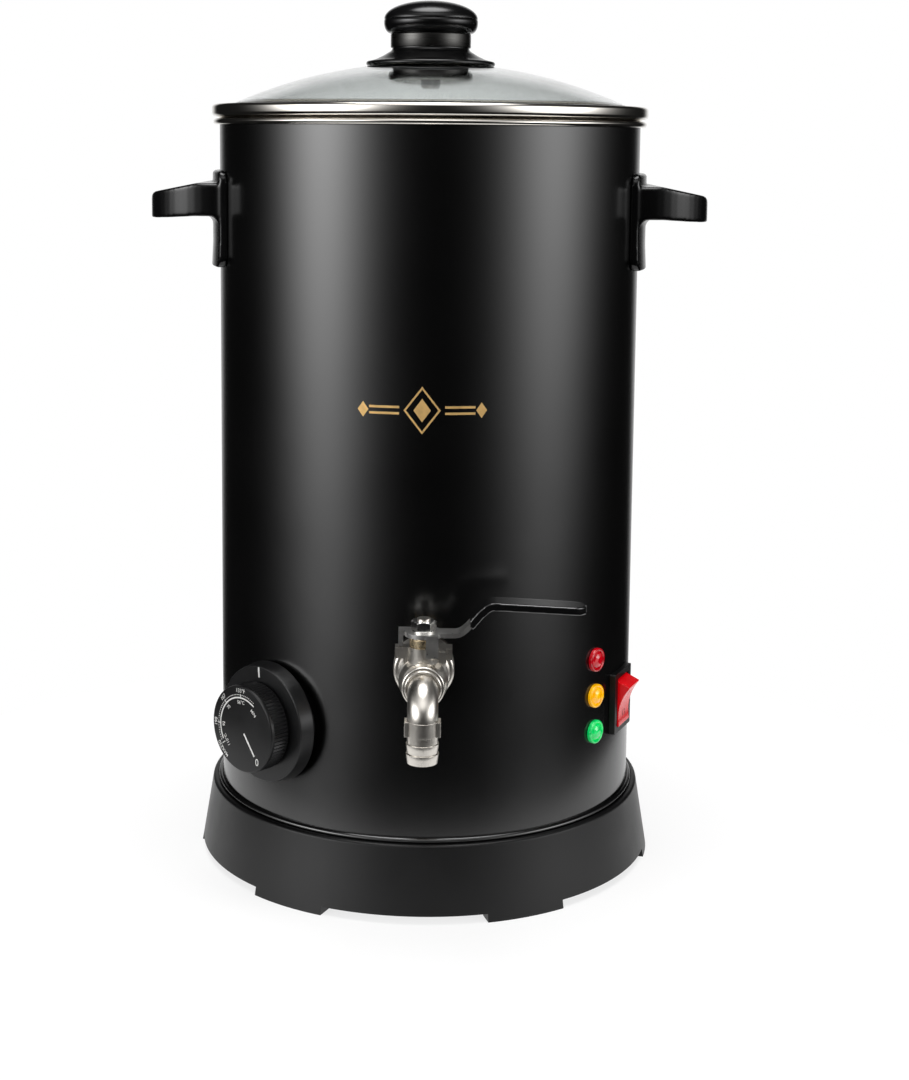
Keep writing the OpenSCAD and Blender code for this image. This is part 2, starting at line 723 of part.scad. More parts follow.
module valve_ball() color(steel) on_shell(0, valve_h) translate([0, 0, stem_d]) difference() {
    rotate([0, 90, 0]) rotate([0, 0, -90]) difference() {
        sphere(r = ball_r);
        cylinder(r = flow_r, h = 40, center = true);
    }
    translate([-2, ball_r - 2.4, -10]) cube([4, 10, 20]);
}

module valve_stem() color(nickel) on_shell(0, valve_h) translate([0, 0, stem_d]) {
    rotate([-90, 0, 0]) {
        translate([0, 0, ball_r + 0.3]) cylinder(r = stem_r, h = lever_z - 0.02 - ball_r - 0.3);
        translate([0, 0, lever_z - 1]) cylinder(r = thread_r, h = lever_t + washer_t + nut_h + 1.8);
    }
    translate([-1.95, ball_r - 2.3, -3.6]) cube([3.9, 4, 7.2]);
}

module stem_packing() color(brass_tone) on_shell(0, valve_h) translate([0, 0, stem_d]) rotate([-90, 0, 0])
    difference() {
        union() {
            translate([0, 0, boss_top - 2.1]) cylinder(r = 5.5, h = 3);
            translate([0, 0, boss_top + seat_clear]) cylinder(r = 6.3, h = packing_top - boss_top - 0.4);
        }
        cylinder(r = stem_r + shaft_clear, h = 40);
    }

// Screwed insert that holds the front seat and takes the spout
module valve_end_cap() color(nickel) on_shell(0, valve_h) rotate_extrude() {
    bore = spout_r - 0.95;
    plug = cavity_r - 0.02;
    polygon([[bore, stem_d + seat_back + 0.02], [plug, stem_d + seat_back + 0.02], [plug, cap_out - 0.4],
        [plug - 0.4, cap_out], [bore + 1.4, cap_out], [bore + 1.4, cap_out - 0.7], [bore, cap_out - 0.7]]);
}

// Outline of the lever seen from the side: x from the stem, y up from its plate.
// Strap and sleeve share their steps along the bend, so their faces stay parallel.
function lever_side(t, from_x, to_x) = let (
    rise_l = lever_bend_x - lever_root_x,
    up = function (x) x < lever_root_x ? 0
        : x < lever_bend_x ? lever_rise * (1 - cos(180 * (x - lever_root_x) / rise_l)) / 2
        : lever_rise - lever_drop * (x - lever_bend_x) / (lever_l - lever_bend_x),
    steps = round(rise_l / lever_step),
    bend = [for (i = [0:steps]) lever_root_x + rise_l * i / steps],
    xs = concat([from_x], [for (x = bend) if (x > from_x + 0.2) x], [to_x]),
    tilt = function (x) atan2(up(x + 0.1) - up(x - 0.1), 0.2))
    concat(
        [for (x = xs) [x + t / 2 * sin(tilt(x)), up(x) + lever_t / 2 - t / 2 * cos(tilt(x))]],
        [for (i = [len(xs) - 1:-1:0]) let (x = xs[i])
            [x - t / 2 * sin(tilt(x)), up(x) + lever_t / 2 + t / 2 * cos(tilt(x))]]);

// The strap's plan: narrow past the plate, wider at the grip, with a round tip
module lever_plan(extra, from_x, high) {
    w = lever_w + 2 * extra;
    neck = lever_w - 1.5 + 2 * extra;
    translate([0, 0, -5]) linear_extrude(height = high) {
        translate([from_x, -neck / 2]) square([lever_bend_x - from_x, neck]);
        polygon([[lever_bend_x - 6, -neck / 2], [lever_bend_x + 4, -w / 2], [lever_bend_x + 4, w / 2],
                 [lever_bend_x - 6, neck / 2]]);
        translate([lever_bend_x + 3, -w / 2]) square([lever_l - w / 2 - lever_bend_x - 3 + extra, w]);
        translate([lever_l - w / 2 + extra, 0]) circle(r = w / 2);
    }
}

// The bent strap between two places, thicker by extra all round
module lever_strap(extra, from_x) intersection() {
    rotate([90, 0, 0]) linear_extrude(height = 40, center = true)
        polygon(lever_side(lever_t + 2 * extra, from_x, lever_l + extra));
    lever_plan(extra, from_x, lever_rise + 20);
}

// Puts a piece on the stem: x along the closed lever, z up from the lever's plate
module on_stem() translate([0, -stem_d, valve_h + lever_z]) children();

module valve_lever() color(steel) on_stem() difference() {
    union() {
        lever_strap(0, 0);
        rod(lever_plate_r, 0, lever_t);
        // Ear to the left and back, above the lug
        translate([-11.3, -0.4, 0]) cube([6, 7.2, lever_t]);
        translate([-11.3, -0.4, lug_top - lever_z + 0.6]) cube([ear_t, 7.2, lever_z - lug_top + 1]);
        // Long ear in front, which meets the stops
        translate([1, -9.2, 0]) cube([5.6, 6, lever_t]);
        translate([1, -9.2, -8.2]) cube([5.6, ear_t, 9]);
    }
    rod(thread_r + seat_clear, -1, lever_t + 1);
}

module lever_sleeve() color(gloss_black) on_stem() difference() {
    lever_strap(sleeve_t, sleeve_start_x);
    lever_strap(0.03, 0);
}

module lever_washer() color(steel) on_stem()
    tube(5.4, thread_r + seat_clear, lever_t + 0.02, lever_t + washer_t);

module lever_nut() color(nickel) on_stem() difference() {
    intersection() {
        hex(nut_af, lever_t + washer_t + 0.02, lever_t + washer_t + nut_h);
        rotate_extrude() polygon([
            [0, lever_t], [nut_af / 2 + 1, lever_t], [nut_af / 2 + 1, lever_t + washer_t + nut_h - 1],
            [nut_af / 2 - 0.2, lever_t + washer_t + nut_h], [0, lever_t + washer_t + nut_h]]);
    }
    rod(thread_r + 0.02, 0, 20);
}

// ---- Spout ----

module spout_elbow() color(nickel) difference() {
    union() {
        on_shell(0, valve_h) rod(spout_r - 1, stem_d + seat_back + 0.2, cap_out + 0.4);
        on_shell(0, valve_h) rod(spout_r, cap_out - 0.6, spout_d - spout_bend_r);
        elbow_bend(spout_r);
        translate([0, -spout_d, 0]) {
            rod(spout_r, collar_ring_end, spout_top);
            rod(spout_r + 0.15, collar_ring_end, spout_top - 0.3);
            round_block(2 * spout_r + 2.3, 7.5, 0.4, collar_ring_end, spout_top - 0.3);
            rotate_extrude() polygon(concat(
                [[0, collar_ring_end + 0.1], [spout_r, collar_ring_end + 0.1], [spout_r, barb_top]],
                [for (i = [0:barb_count - 1]) let (z = barb_top - i * barb_h) each [
                    [barb_r, z], [barb_r, z - barb_land], [barb_root_r, z - barb_h]]],
                [[0, spout_end]]));
        }
    }
    on_shell(0, valve_h) rod(flow_r, stem_d, spout_d - spout_bend_r);
    elbow_bend(flow_r);
    translate([0, -spout_d, 0]) rod(flow_r, spout_end - 1, spout_top);
}

// A quarter bend from the valve's axis down to the spout
module elbow_bend(r) translate([0, -(spout_d - spout_bend_r), valve_h - spout_bend_r])
    rotate([0, -90, 0]) rotate([180, 0, 0]) rotate_extrude(angle = 90)
        translate([spout_bend_r, 0]) circle(r = r, $fn = 48);

// ---- Lamps ----

module lamp(index) on_shell(lamp_azimuth, base_h + lamp_z + index * lamp_pitch) {
    rotate_extrude() polygon(concat(
        [[0, shell_r - 7], [lens_tube_r, shell_r - 7], [lens_tube_r, shell_r + seat_clear],
         [lamp_r, shell_r + seat_clear], [lamp_r, shell_r + 1.1], [lamp_r - 0.4, shell_r + 1.5],
         [lamp_r - 1, shell_r + 1.5]],
        [for (i = [0:6]) let (a = i * 90 / 7)
            [(lamp_r - 1) * cos(a), shell_r + 1.5 + lens_rise * sin(a)]],
        [[0, shell_r + 1.5 + lens_rise]]));
}

module lamp_green() color([0.10, 0.80, 0.35]) lamp(0);
module lamp_amber() color([1.00, 0.65, 0.05]) lamp(1);
module lamp_red() color([0.85, 0.05, 0.10]) lamp(2);

module lamp_holders() color(white_seal)
    for (i = [0:2]) on_shell(lamp_azimuth, base_h + lamp_z + i * lamp_pitch) {
        tube(lens_tube_r + 1.4, lens_tube_r + 0.05, holder_in, shell_r - 1.4);
        rod(lens_tube_r + 0.5, holder_in, shell_r - 7.1);
    }

// ---- Switch ----

module switch_housing() color(plastic_black) on_shell(switch_azimuth, base_h + switch_z) difference() {
    union() {
        difference() {
            round_block(switch_w, switch_h, 1, shell_r - 3, switch_face);
            shell_curve(shell_r + 0.05);
        }
        block(switch_body_w, switch_body_h, switch_back, shell_r + 1);
    }
    block(rocker_w + 0.6, rocker_h, switch_back + 9, switch_face + 1);
    translate([0, 0, rocker_pivot]) rotate([0, 90, 0])
        cylinder(r = trunnion_r + shaft_clear, h = rocker_w + 2, center = true);
}

module switch_rocker() color([0.80, 0.05, 0.08]) on_shell(switch_azimuth, base_h + switch_z)
    translate([0, 0, rocker_pivot]) rotate([rocker_tilt, 0, 0]) {
        rotate([90, 0, 90]) linear_extrude(height = rocker_w, center = true) polygon(concat(
            [[rocker_half + 1.4, 0], [rocker_half, rocker_tip]],
            [for (i = [0:10]) let (s = 1 - 0.2 * i)
                [s * (rocker_half - 0.6), rocker_tip - 2.2 * (1 - s * s)]],
            [[-rocker_half, rocker_tip], [-rocker_half - 1.4, 0], [-5, -3.6], [5, -3.6]]));
        rotate([0, 90, 0]) cylinder(r = trunnion_r, h = rocker_w + 1.6, center = true);
    }

module switch_terminals() color(brass_tone) on_shell(switch_azimuth, base_h + switch_z)
    for (x = [-1, 1], y = [-1, 1]) translate([x * 6, y * 7, 0])
        block(6.3, 0.8, switch_back - 8, switch_back - 0.02);

// ---- Handles ----

// A handle on the +X side
module handle() difference() {
    union() {
        // Plate, curved to the shell, with rounded corners
        intersection() {
            rotate_extrude($fn = 144) polygon([
                [shell_r - 2, plate_bottom], [shell_r + handle_plate_t + 0.6, plate_bottom],
                [shell_r + handle_plate_t, plate_bottom + 12],
                [shell_r + handle_plate_t, plate_bottom + handle_plate_h - 1],
                [shell_r + handle_plate_t - 1, plate_bottom + handle_plate_h],
                [shell_r - 2, plate_bottom + handle_plate_h]]);
            translate([shell_r - 20, 0, plate_bottom + handle_plate_h / 2]) rotate([0, 90, 0])
                round_block(handle_plate_h, handle_plate_w, plate_corner_r, 0, 40);
        }
        grip_root_curve();
        difference() {
            grip_form();
            grip_pocket();
        }
    }
    cylinder(r = shell_r + seat_clear, h = 1000, $fn = 144);
    for (a = [-1, 1]) on_shell(90 + a * handle_screw_angle, handle_screw_z)
        rod(handle_screw_r + 0.02, shell_r - 5, shell_r + handle_hole_depth + 0.4);
}

// A block from one x to another, with rounded upright edges at the far end
module grip_block(from_x, to_x, w, r, low, high)
    translate([0, 0, low]) linear_extrude(height = high - low) polygon(concat(
        [[from_x, -w / 2]], arc(to_x - r, -w / 2 + r, r, -90, 0, 14),
        arc(to_x - r, w / 2 - r, r, 0, 90, 14), [[from_x, w / 2]]));

// The grip's outer form: its side profile, its plan and its rounded long edges
module grip_form() intersection() {
    rotate([90, 0, 0]) linear_extrude(height = 2 * grip_w, center = true) polygon(concat(
        [[shell_r - 9, grip_top], [shell_r + 8, grip_top]],
        arc(grip_tip - 5, grip_top - grip_slope - 5, 5, 80, 20, 5),
        [[grip_tip + 2, grip_top - grip_slope - 8], [grip_tip + 2, grip_bottom - grip_droop],
         [shell_r + handle_plate_t + root_r, grip_bottom], [shell_r - 9, grip_bottom]]));
    grip_block(shell_r - 30, grip_tip, grip_w, grip_corner_r, plate_bottom, grip_top + 10);
    rotate([90, 0, 90]) linear_extrude(height = 200) polygon(concat(
        [[-grip_w / 2 - 1, plate_bottom], [grip_w / 2 + 1, plate_bottom],
         [grip_w / 2 + 1, grip_top - grip_edge_r]],
        arc(grip_w / 2 - grip_edge_r, grip_top - grip_edge_r, grip_edge_r, 0, 90, 5),
        arc(-grip_w / 2 + grip_edge_r, grip_top - grip_edge_r, grip_edge_r, 90, 180, 5),
        [[-grip_w / 2 - 1, grip_top - grip_edge_r]]));
}

// Hollow under the grip
module grip_pocket() intersection() {
    grip_block(shell_r - 30, grip_tip - grip_wall, grip_w - 2 * grip_wall, grip_corner_r - grip_wall,
        grip_bottom - grip_droop - 1, grip_top - grip_slope - grip_wall);
    translate([grip_root, -grip_w, plate_bottom]) cube([grip_w, 2 * grip_w, handle_plate_h]);
}

// The hollow curve that joins the grip's underside to its plate
module grip_root_curve() intersection() {
    rotate_extrude($fn = 144) polygon(concat(
        [[shell_r - 2, grip_bottom + 1], [shell_r + handle_plate_t + root_r, grip_bottom + 1]],
        arc(shell_r + handle_plate_t + root_r - 0.3, grip_bottom - root_r + 0.3, root_r, 90, 180, 6),
        [[shell_r - 2, grip_bottom - root_r + 0.3]]));
    grip_block(shell_r - 30, grip_tip, grip_w - 0.4, grip_corner_r, plate_bottom, grip_top + 10);
}

module handle_right() color(gloss_black) handle();
module handle_left() color(gloss_black) rotate([0, 0, 180]) handle();

module handle_screws() color(steel) for (side = [-90, 90], a = [-1, 1])
    on_shell(side + a * handle_screw_angle, handle_screw_z) translate([0, 0, shell_in - 0.15])
        rotate([180, 0, 0]) pan_screw(handle_screw_r, handle_hole_depth + 0.8);

// ---- Lid ----

// Height of the dome's outer surface, or of one further in, at a radius
function dome_z(r, inset = 0) = dome_c + sqrt(pow(dome_sphere_r - inset, 2) - r * r);

module lid_glass() color([0.80, 0.88, 0.86, 0.4]) rotate_extrude($fn = 144) polygon(concat(
    [for (i = [0:20]) let (r = glass_hole_r + (dome_r - glass_hole_r) * i / 20) [r, dome_z(r)]],
    [[dome_r + 0.6, glass_edge_z + glass_edge_t], [glass_edge_r, glass_edge_z + glass_edge_t],
     [glass_edge_r, glass_edge_z], [dome_r, glass_edge_z]],
    [for (i = [20:-1:0]) let (r = glass_hole_r + (dome_r - 3 - glass_hole_r) * i / 20)
        [r, dome_z(r, glass_t)]]));

module lid_rim() color(steel) rotate_extrude($fn = 144) {
    t = lid_band_t;
    low = rim_top + band_gap;
    high = low + lid_band_h - 0.6;
    // Step that drops into the pot's mouth, and the seat on the pot's rim
    polygon([[lid_step_r - t, rim_top - lid_step_h], [lid_step_r, rim_top - lid_step_h],
             [lid_step_r, rim_top], [rim_bead_c - 1.6, rim_top], [rim_bead_c - 0.6, low],
             [rim_bead_c - 0.6, low + t], [rim_bead_c - 2, low + t], [rim_bead_c - 2.6, rim_top + t],
             [lid_step_r - t, rim_top + t]]);
    // Band folded round the edge of the glass
    polygon(concat(
        [[rim_bead_c - 0.7, low]], arc(band_r - 1.8, low + 1.8, 1.8, -90, 0, 5),
        arc(band_r - 1.8, high - 1.8, 1.8, 0, 90, 5),
        [[dome_r + 1, high + 0.3], [dome_r + 1, high + 0.3 - t]],
        arc(band_r - 1.8, high - 1.8, 1.8 - t, 90, 0, 5), arc(band_r - 1.8, low + 1.8, 1.8 - t, 0, -90, 5),
        [[rim_bead_c - 0.7, low + t]]));
}

// Seat under the glass, cut to the dome's inner curve
seat_z = dome_z(seat_r, glass_t) - seat_h;
module lid_seat() color(gloss_black) rotate_extrude() polygon(concat(
    [[lid_screw_r + 0.2, seat_z], [seat_r - 1.3, seat_z], [seat_r, seat_z + seat_foot_h]],
    [for (i = [6:-1:0]) let (r = lid_screw_r + 0.2 + (seat_r - 2.1 - lid_screw_r - 0.2) * i / 6)
        [r, dome_z(r, glass_t) - seat_clear]]));

lid_washer_z = seat_z - 0.02;
module lid_washer() color(steel)
    tube(washer_r, lid_screw_r + 0.2, lid_washer_z - lid_washer_t, lid_washer_z);

module lid_screw() color(steel) translate([0, 0, lid_washer_z - lid_washer_t - 0.02])
    rotate([180, 0, 0]) pan_screw(lid_screw_r, cap_z + 0.7 - lid_washer_z);

module lid_knob_skirt() color(gloss_black) rotate_extrude() polygon(concat(
    [[lid_screw_r + 0.2, dome_z(lid_screw_r) + seat_clear]],
    [for (i = [0:5]) let (r = 4 + (knob_skirt_r - 1.6 - 4) * i / 5) [r, dome_z(r) + seat_clear]],
    arc(knob_skirt_r - 1.2, skirt_z + 1.4, 1.2, -80, 60, 5),
    [[29.0, skirt_z + 3.0], [25.5, skirt_z + 4.4], [22.7, skirt_z + 5.9], [20.2, skirt_z + 7.4],
     [collar_r - 0.8, skirt_z + skirt_h - 0.8], [collar_r - 0.8, skirt_z + skirt_h],
     [lid_screw_r + 0.2, skirt_z + skirt_h]]));

module lid_knob_collar() color([0.25, 0.24, 0.23]) rotate_extrude() polygon([
    [lid_screw_r + 0.2, collar_z], [collar_r - 0.4, collar_z], [collar_r, collar_z + 0.4],
    [collar_r, knob_z - 0.5], [collar_r - 0.4, knob_z - 0.1], [lid_screw_r + 0.2, knob_z - 0.1]]);

module lid_knob() color(gloss_black) rotate_extrude() polygon(concat(
    [[lid_screw_r + 0.02, knob_z], [knob_r - 3.6, knob_z]],
    [for (i = [0:8]) let (a = 90 * i / 8)
        [knob_r - 3.4 + 3.4 * sin(a), knob_z + 0.3 + (knob_h - 1.8) * (1 - cos(a))]],
    [[knob_r, cap_z - 0.2], [knob_r - 0.3, cap_z], [lid_screw_r + 0.02, cap_z]]));

// Domed top of the knob: half an ellipse above the seam
module lid_knob_cap() color(gloss_black) rotate_extrude() polygon(concat(
    [[0, cap_z + 0.02], [knob_r - 0.3, cap_z + 0.02]],
    [for (i = [0:17]) let (a = 5 * i)
        [(knob_r - 0.1) * cos(a), cap_z + knob_seam + (cap_h - knob_seam) * sin(a)]],
    [[0, cap_z + cap_h]]));

// ---- Power inlet ----

module inlet_cavity(grow = 0) linear_extrude(height = 60) {
    w = inlet_cavity_w / 2 + grow;
    h = inlet_cavity_h / 2 + grow;
    polygon([[-w, -h], [w, -h], [w, h - 4], [w - 4, h], [-w + 4, h], [-w, h - 4]]);
}

module power_inlet() color(plastic_black) on_shell(180, base_h + inlet_z) difference() {
    union() {
        difference() {
            round_block(inlet_w, inlet_h, 2, shell_r - 3, inlet_face);
            shell_curve(shell_r + 0.05);
        }
        block(inlet_body_w, inlet_body_h, inlet_floor - 2.5, shell_r + 1);
    }
    translate([0, 0, inlet_floor]) inlet_cavity();
    inlet_pin_places() block(2.1, 4.1, inlet_floor - 3, inlet_floor + 1);
}

module inlet_pin_places()
    for (p = [[-pin_gap, -2], [0, 2], [pin_gap, -2]]) translate([p[0], p[1], 0]) children();

module inlet_pins() color(nickel) on_shell(180, base_h + inlet_z) inlet_pin_places() {
    block(2, 4, inlet_floor - 2.6, inlet_floor + pin_l);
    block(0.8, 4.8, inlet_floor - 10, inlet_floor - 2.55);
}

// ---- Every piece, or the one that is asked for ----

outer_shell();
inner_pot();
base_ring();
bottom_plate();
base_screws();
tie_stud();
tie_nut();
heater_plate();
heater_element();
thermal_cutout();
heater_screws();
sensor_bulb();
bulb_clip();
thermostat_body();
thermostat_shaft();
dial_screws();
dial_bezel();
dial_knob();
outlet_socket();
outlet_nipple();
outlet_gasket();
valve_body();
valve_seats();
valve_ball();
valve_stem();
stem_packing();
valve_end_cap();
valve_lever();
lever_sleeve();
lever_washer();
lever_nut();
spout_elbow();
lamp_red();
lamp_amber();
lamp_green();
lamp_holders();
switch_housing();
switch_rocker();
switch_terminals();
handle_left();
handle_right();
handle_screws();
lid_glass();
lid_rim();
lid_seat();
lid_washer();
lid_screw();
lid_knob_skirt();
lid_knob_collar();
lid_knob();
lid_knob_cap();
power_inlet();
inlet_pins();
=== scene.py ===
# Looks of the candle wax melter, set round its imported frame.
# Blender's lengths are metres, +Z is up and the valve points to -Y. Outlines and sizes of pieces
# are written in millimetres from the body's axis, and mm turns them into metres.
import json
import math

import bmesh
import bpy
from mathutils import Matrix, Vector

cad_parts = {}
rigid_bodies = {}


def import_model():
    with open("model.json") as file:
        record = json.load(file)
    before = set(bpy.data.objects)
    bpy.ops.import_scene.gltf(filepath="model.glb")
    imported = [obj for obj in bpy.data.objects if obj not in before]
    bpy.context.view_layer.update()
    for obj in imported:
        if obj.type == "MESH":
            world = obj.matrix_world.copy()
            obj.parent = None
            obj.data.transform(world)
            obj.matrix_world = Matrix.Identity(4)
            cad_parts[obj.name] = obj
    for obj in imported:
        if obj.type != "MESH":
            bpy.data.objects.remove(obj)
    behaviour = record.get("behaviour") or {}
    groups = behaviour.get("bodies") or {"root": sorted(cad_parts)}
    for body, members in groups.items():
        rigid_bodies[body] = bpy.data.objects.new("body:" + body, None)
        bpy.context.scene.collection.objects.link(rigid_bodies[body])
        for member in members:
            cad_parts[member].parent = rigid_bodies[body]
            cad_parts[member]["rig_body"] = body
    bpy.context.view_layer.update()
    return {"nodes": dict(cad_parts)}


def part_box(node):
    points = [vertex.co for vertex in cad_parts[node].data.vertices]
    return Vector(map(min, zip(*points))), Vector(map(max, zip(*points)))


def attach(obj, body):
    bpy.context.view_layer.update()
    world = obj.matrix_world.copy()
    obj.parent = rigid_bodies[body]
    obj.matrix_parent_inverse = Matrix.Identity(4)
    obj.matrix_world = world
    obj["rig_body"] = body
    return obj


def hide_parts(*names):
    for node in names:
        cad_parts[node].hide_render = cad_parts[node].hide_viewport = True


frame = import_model()
scene = bpy.context.scene
scene.view_settings.view_transform = "Standard"

# ---- Camera ----
# A long lens stands just under a metre in front of the melter's axis, at the height of its lid,
# and looks a little down. The shift keeps the upright edges nearly parallel, as in the photograph.


def shown(name, data):
    """Makes an object and links it to the scene."""
    made = bpy.data.objects.new(name, data)
    scene.collection.objects.link(made)
    return made


camera_place = (0.00655, -0.93808, 0.3635)
camera_pan = math.radians(0.4)
camera_pitch = math.radians(90) - 0.1305
camera_roll = 0.0085
camera_data = bpy.data.cameras.new("camera")
camera_data.lens = 61.70
camera_data.sensor_width = 36
camera_data.shift_x = 0.02455
camera_data.shift_y = -0.14633
camera = shown("camera", camera_data)
camera.matrix_world = (
    Matrix.Translation(camera_place)
    @ Matrix.Rotation(camera_pan, 4, "Z")
    @ Matrix.Rotation(camera_pitch, 4, "X")
    @ Matrix.Rotation(camera_roll, 4, "Z")
)
scene.camera = camera

# ---- Worktop ----
# A round white worktop under the melter. It glows a little for the rays that show it, so that
# it runs into the white background and still takes a soft contact shadow.


def mesh_of(name, shape):
    """Makes a mesh of a finished shape and frees the shape."""
    mesh = bpy.data.meshes.new(name)
    shape.to_mesh(mesh)
    shape.free()
    return mesh


def joined(tree, kind, one, other, clamp=False):
    """The result of a math node on two sockets or numbers."""
    step = tree.nodes.new("ShaderNodeMath")
    step.operation = kind
    step.use_clamp = clamp
    for socket, value in zip(step.inputs, (one, other)):
        if isinstance(value, (int, float)):
            socket.default_value = value
        else:
            tree.links.new(value, socket)
    return step.outputs[0]


def seen_directly(tree, kinds):
    """1 for the kinds of ray that show the white background, 0 for the rest."""
    path = tree.nodes.new("ShaderNodeLightPath")
    total = path.outputs[kinds[0]]
    for kind in kinds[1:]:
        total = joined(tree, "ADD", total, path.outputs[kind], clamp=True)
    return total


worktop_radius = 0.33
paper_grey = 0.26
paper_glow = 0.74
worktop_shape = bmesh.new()
bmesh.ops.create_circle(worktop_shape, cap_ends=True, segments=96, radius=worktop_radius)
worktop_mesh = mesh_of("worktop", worktop_shape)
worktop = shown("worktop", worktop_mesh)

paper = bpy.data.materials.new("white_paper")
paper.use_nodes = True
tree = paper.node_tree
tree.nodes.remove(tree.nodes["Principled BSDF"])
matt = tree.nodes.new("ShaderNodeBsdfDiffuse")
matt.inputs["Color"].default_value = (paper_grey, paper_grey, paper_grey, 1)
lit = tree.nodes.new("ShaderNodeEmission")
lit.inputs["Color"].default_value = (1, 1, 1, 1)
shows_paper = seen_directly(tree, ["Is Camera Ray", "Is Glossy Ray", "Is Transmission Ray"])
tree.links.new(joined(tree, "MULTIPLY", shows_paper, paper_glow), lit.inputs["Strength"])
both = tree.nodes.new("ShaderNodeAddShader")
tree.links.new(matt.outputs[0], both.inputs[0])
tree.links.new(lit.outputs[0], both.inputs[1])
tree.links.new(both.outputs[0], tree.nodes["Material Output"].inputs["Surface"])
worktop_mesh.materials.append(paper)

# ---- Studio ----
# White all round for the camera and through the glass. What lights the melter is a dark room with
# two tall soft boxes left and right, which give the black shell its two streaks, a small canopy
# in front above, an overhead lamp and a white wall far behind.


def ramp(tree, value, start, end, low, high, kind="SMOOTHSTEP"):
    """Goes from low to high while a socket's value goes from start to end."""
    step = tree.nodes.new("ShaderNodeMapRange")
    step.interpolation_type = kind
    for socket, number in (("From Min", start), ("From Max", end), ("To Min", low), ("To Max", high)):
        step.inputs[socket].default_value = number
    tree.links.new(value, step.inputs["Value"])
    return step.outputs[0]


studio = bpy.data.worlds.new("studio")
scene.world = studio
studio.use_nodes = True
tree = studio.node_tree
way = tree.nodes.new("ShaderNodeTexCoord")
parts = tree.nodes.new("ShaderNodeSeparateXYZ")
tree.links.new(way.outputs["Generated"], parts.inputs[0])
height = parts.outputs["Z"]
backwards = parts.outputs["Y"]
level = tree.nodes.new("ShaderNodeVectorMath")
level.operation = "MULTIPLY"
level.inputs[1].default_value = (1, 1, 0)
tree.links.new(way.outputs["Generated"], level.inputs[0])
bearing = tree.nodes.new("ShaderNodeVectorMath")
bearing.operation = "NORMALIZE"
tree.links.new(level.outputs[0], bearing.inputs[0])


def soft_box(azimuth, narrow, strength):
    """Light from an azimuth, in degrees from the front, that fades towards its sides."""
    along = tree.nodes.new("ShaderNodeVectorMath")
    along.operation = "DOT_PRODUCT"
    turn = math.radians(azimuth)
    along.inputs[1].default_value = (math.sin(turn), -math.cos(turn), 0)
    tree.links.new(bearing.outputs[0], along.inputs[0])
    fade = joined(tree, "MULTIPLY", joined(tree, "SUBTRACT", along.outputs["Value"], 1), narrow)
    return joined(tree, "MULTIPLY", joined(tree, "EXPONENT", fade, 0), strength)


left_box = soft_box(azimuth=-58, narrow=14.5, strength=8.8)
right_box = soft_box(azimuth=69, narrow=12.5, strength=5.7)
above_floor = ramp(tree, height, -0.165, 0.165, 0, 1)
below_head = ramp(tree, height, 0.20, 0.45, 1, 0)
tall = joined(tree, "MULTIPLY", above_floor, below_head)
boxes = joined(tree, "MULTIPLY", tall, joined(tree, "ADD", left_box, right_box))
above_boxes = ramp(tree, height, 0.35, 0.55, 0, 1)
below_lamp = ramp(tree, height, 0.75, 0.90, 1, 0)
aloft = joined(tree, "MULTIPLY", above_boxes, below_lamp)
canopy = joined(tree, "MULTIPLY", aloft, soft_box(azimuth=0, narrow=3.0, strength=1.6))
wall = ramp(tree, backwards, 0.86, 0.99, 0.010, 1.0)
overhead = ramp(tree, height, 0.88, 0.985, 0.0, 7.0)
light = joined(tree, "ADD", joined(tree, "ADD", boxes, canopy), joined(tree, "MAXIMUM", wall, overhead))

room = tree.nodes["Background"]
room.inputs["Color"].default_value = (1, 1, 1, 1)
tree.links.new(light, room.inputs["Strength"])
white = tree.nodes.new("ShaderNodeBackground")
white.inputs["Color"].default_value = (1, 1, 1, 1)
choose = tree.nodes.new("ShaderNodeMixShader")
tree.links.new(seen_directly(tree, ["Is Camera Ray", "Is Transmission Ray"]), choose.inputs[0])
tree.links.new(room.outputs[0], choose.inputs[1])
tree.links.new(white.outputs[0], choose.inputs[2])
tree.links.new(choose.outputs[0], tree.nodes["World Output"].inputs["Surface"])

# ---- Painted shell ----
# A sleeve of 0.8 mm steel sheet, rolled and seam-welded, with a rolled hem at its foot.
# It is sprayed with a satin black heat-proof paint, which has a very fine orange peel.
mm = 0.001
weld = 0.0005


def noise(tree, where, scale, detail):
    """Noise over the coordinates of a socket."""
    made = tree.nodes.new("ShaderNodeTexNoise")
    made.inputs["Scale"].default_value = scale
    made.inputs["Detail"].default_value = detail
    tree.links.new(where, made.inputs["Vector"])
    return made.outputs["Fac"]


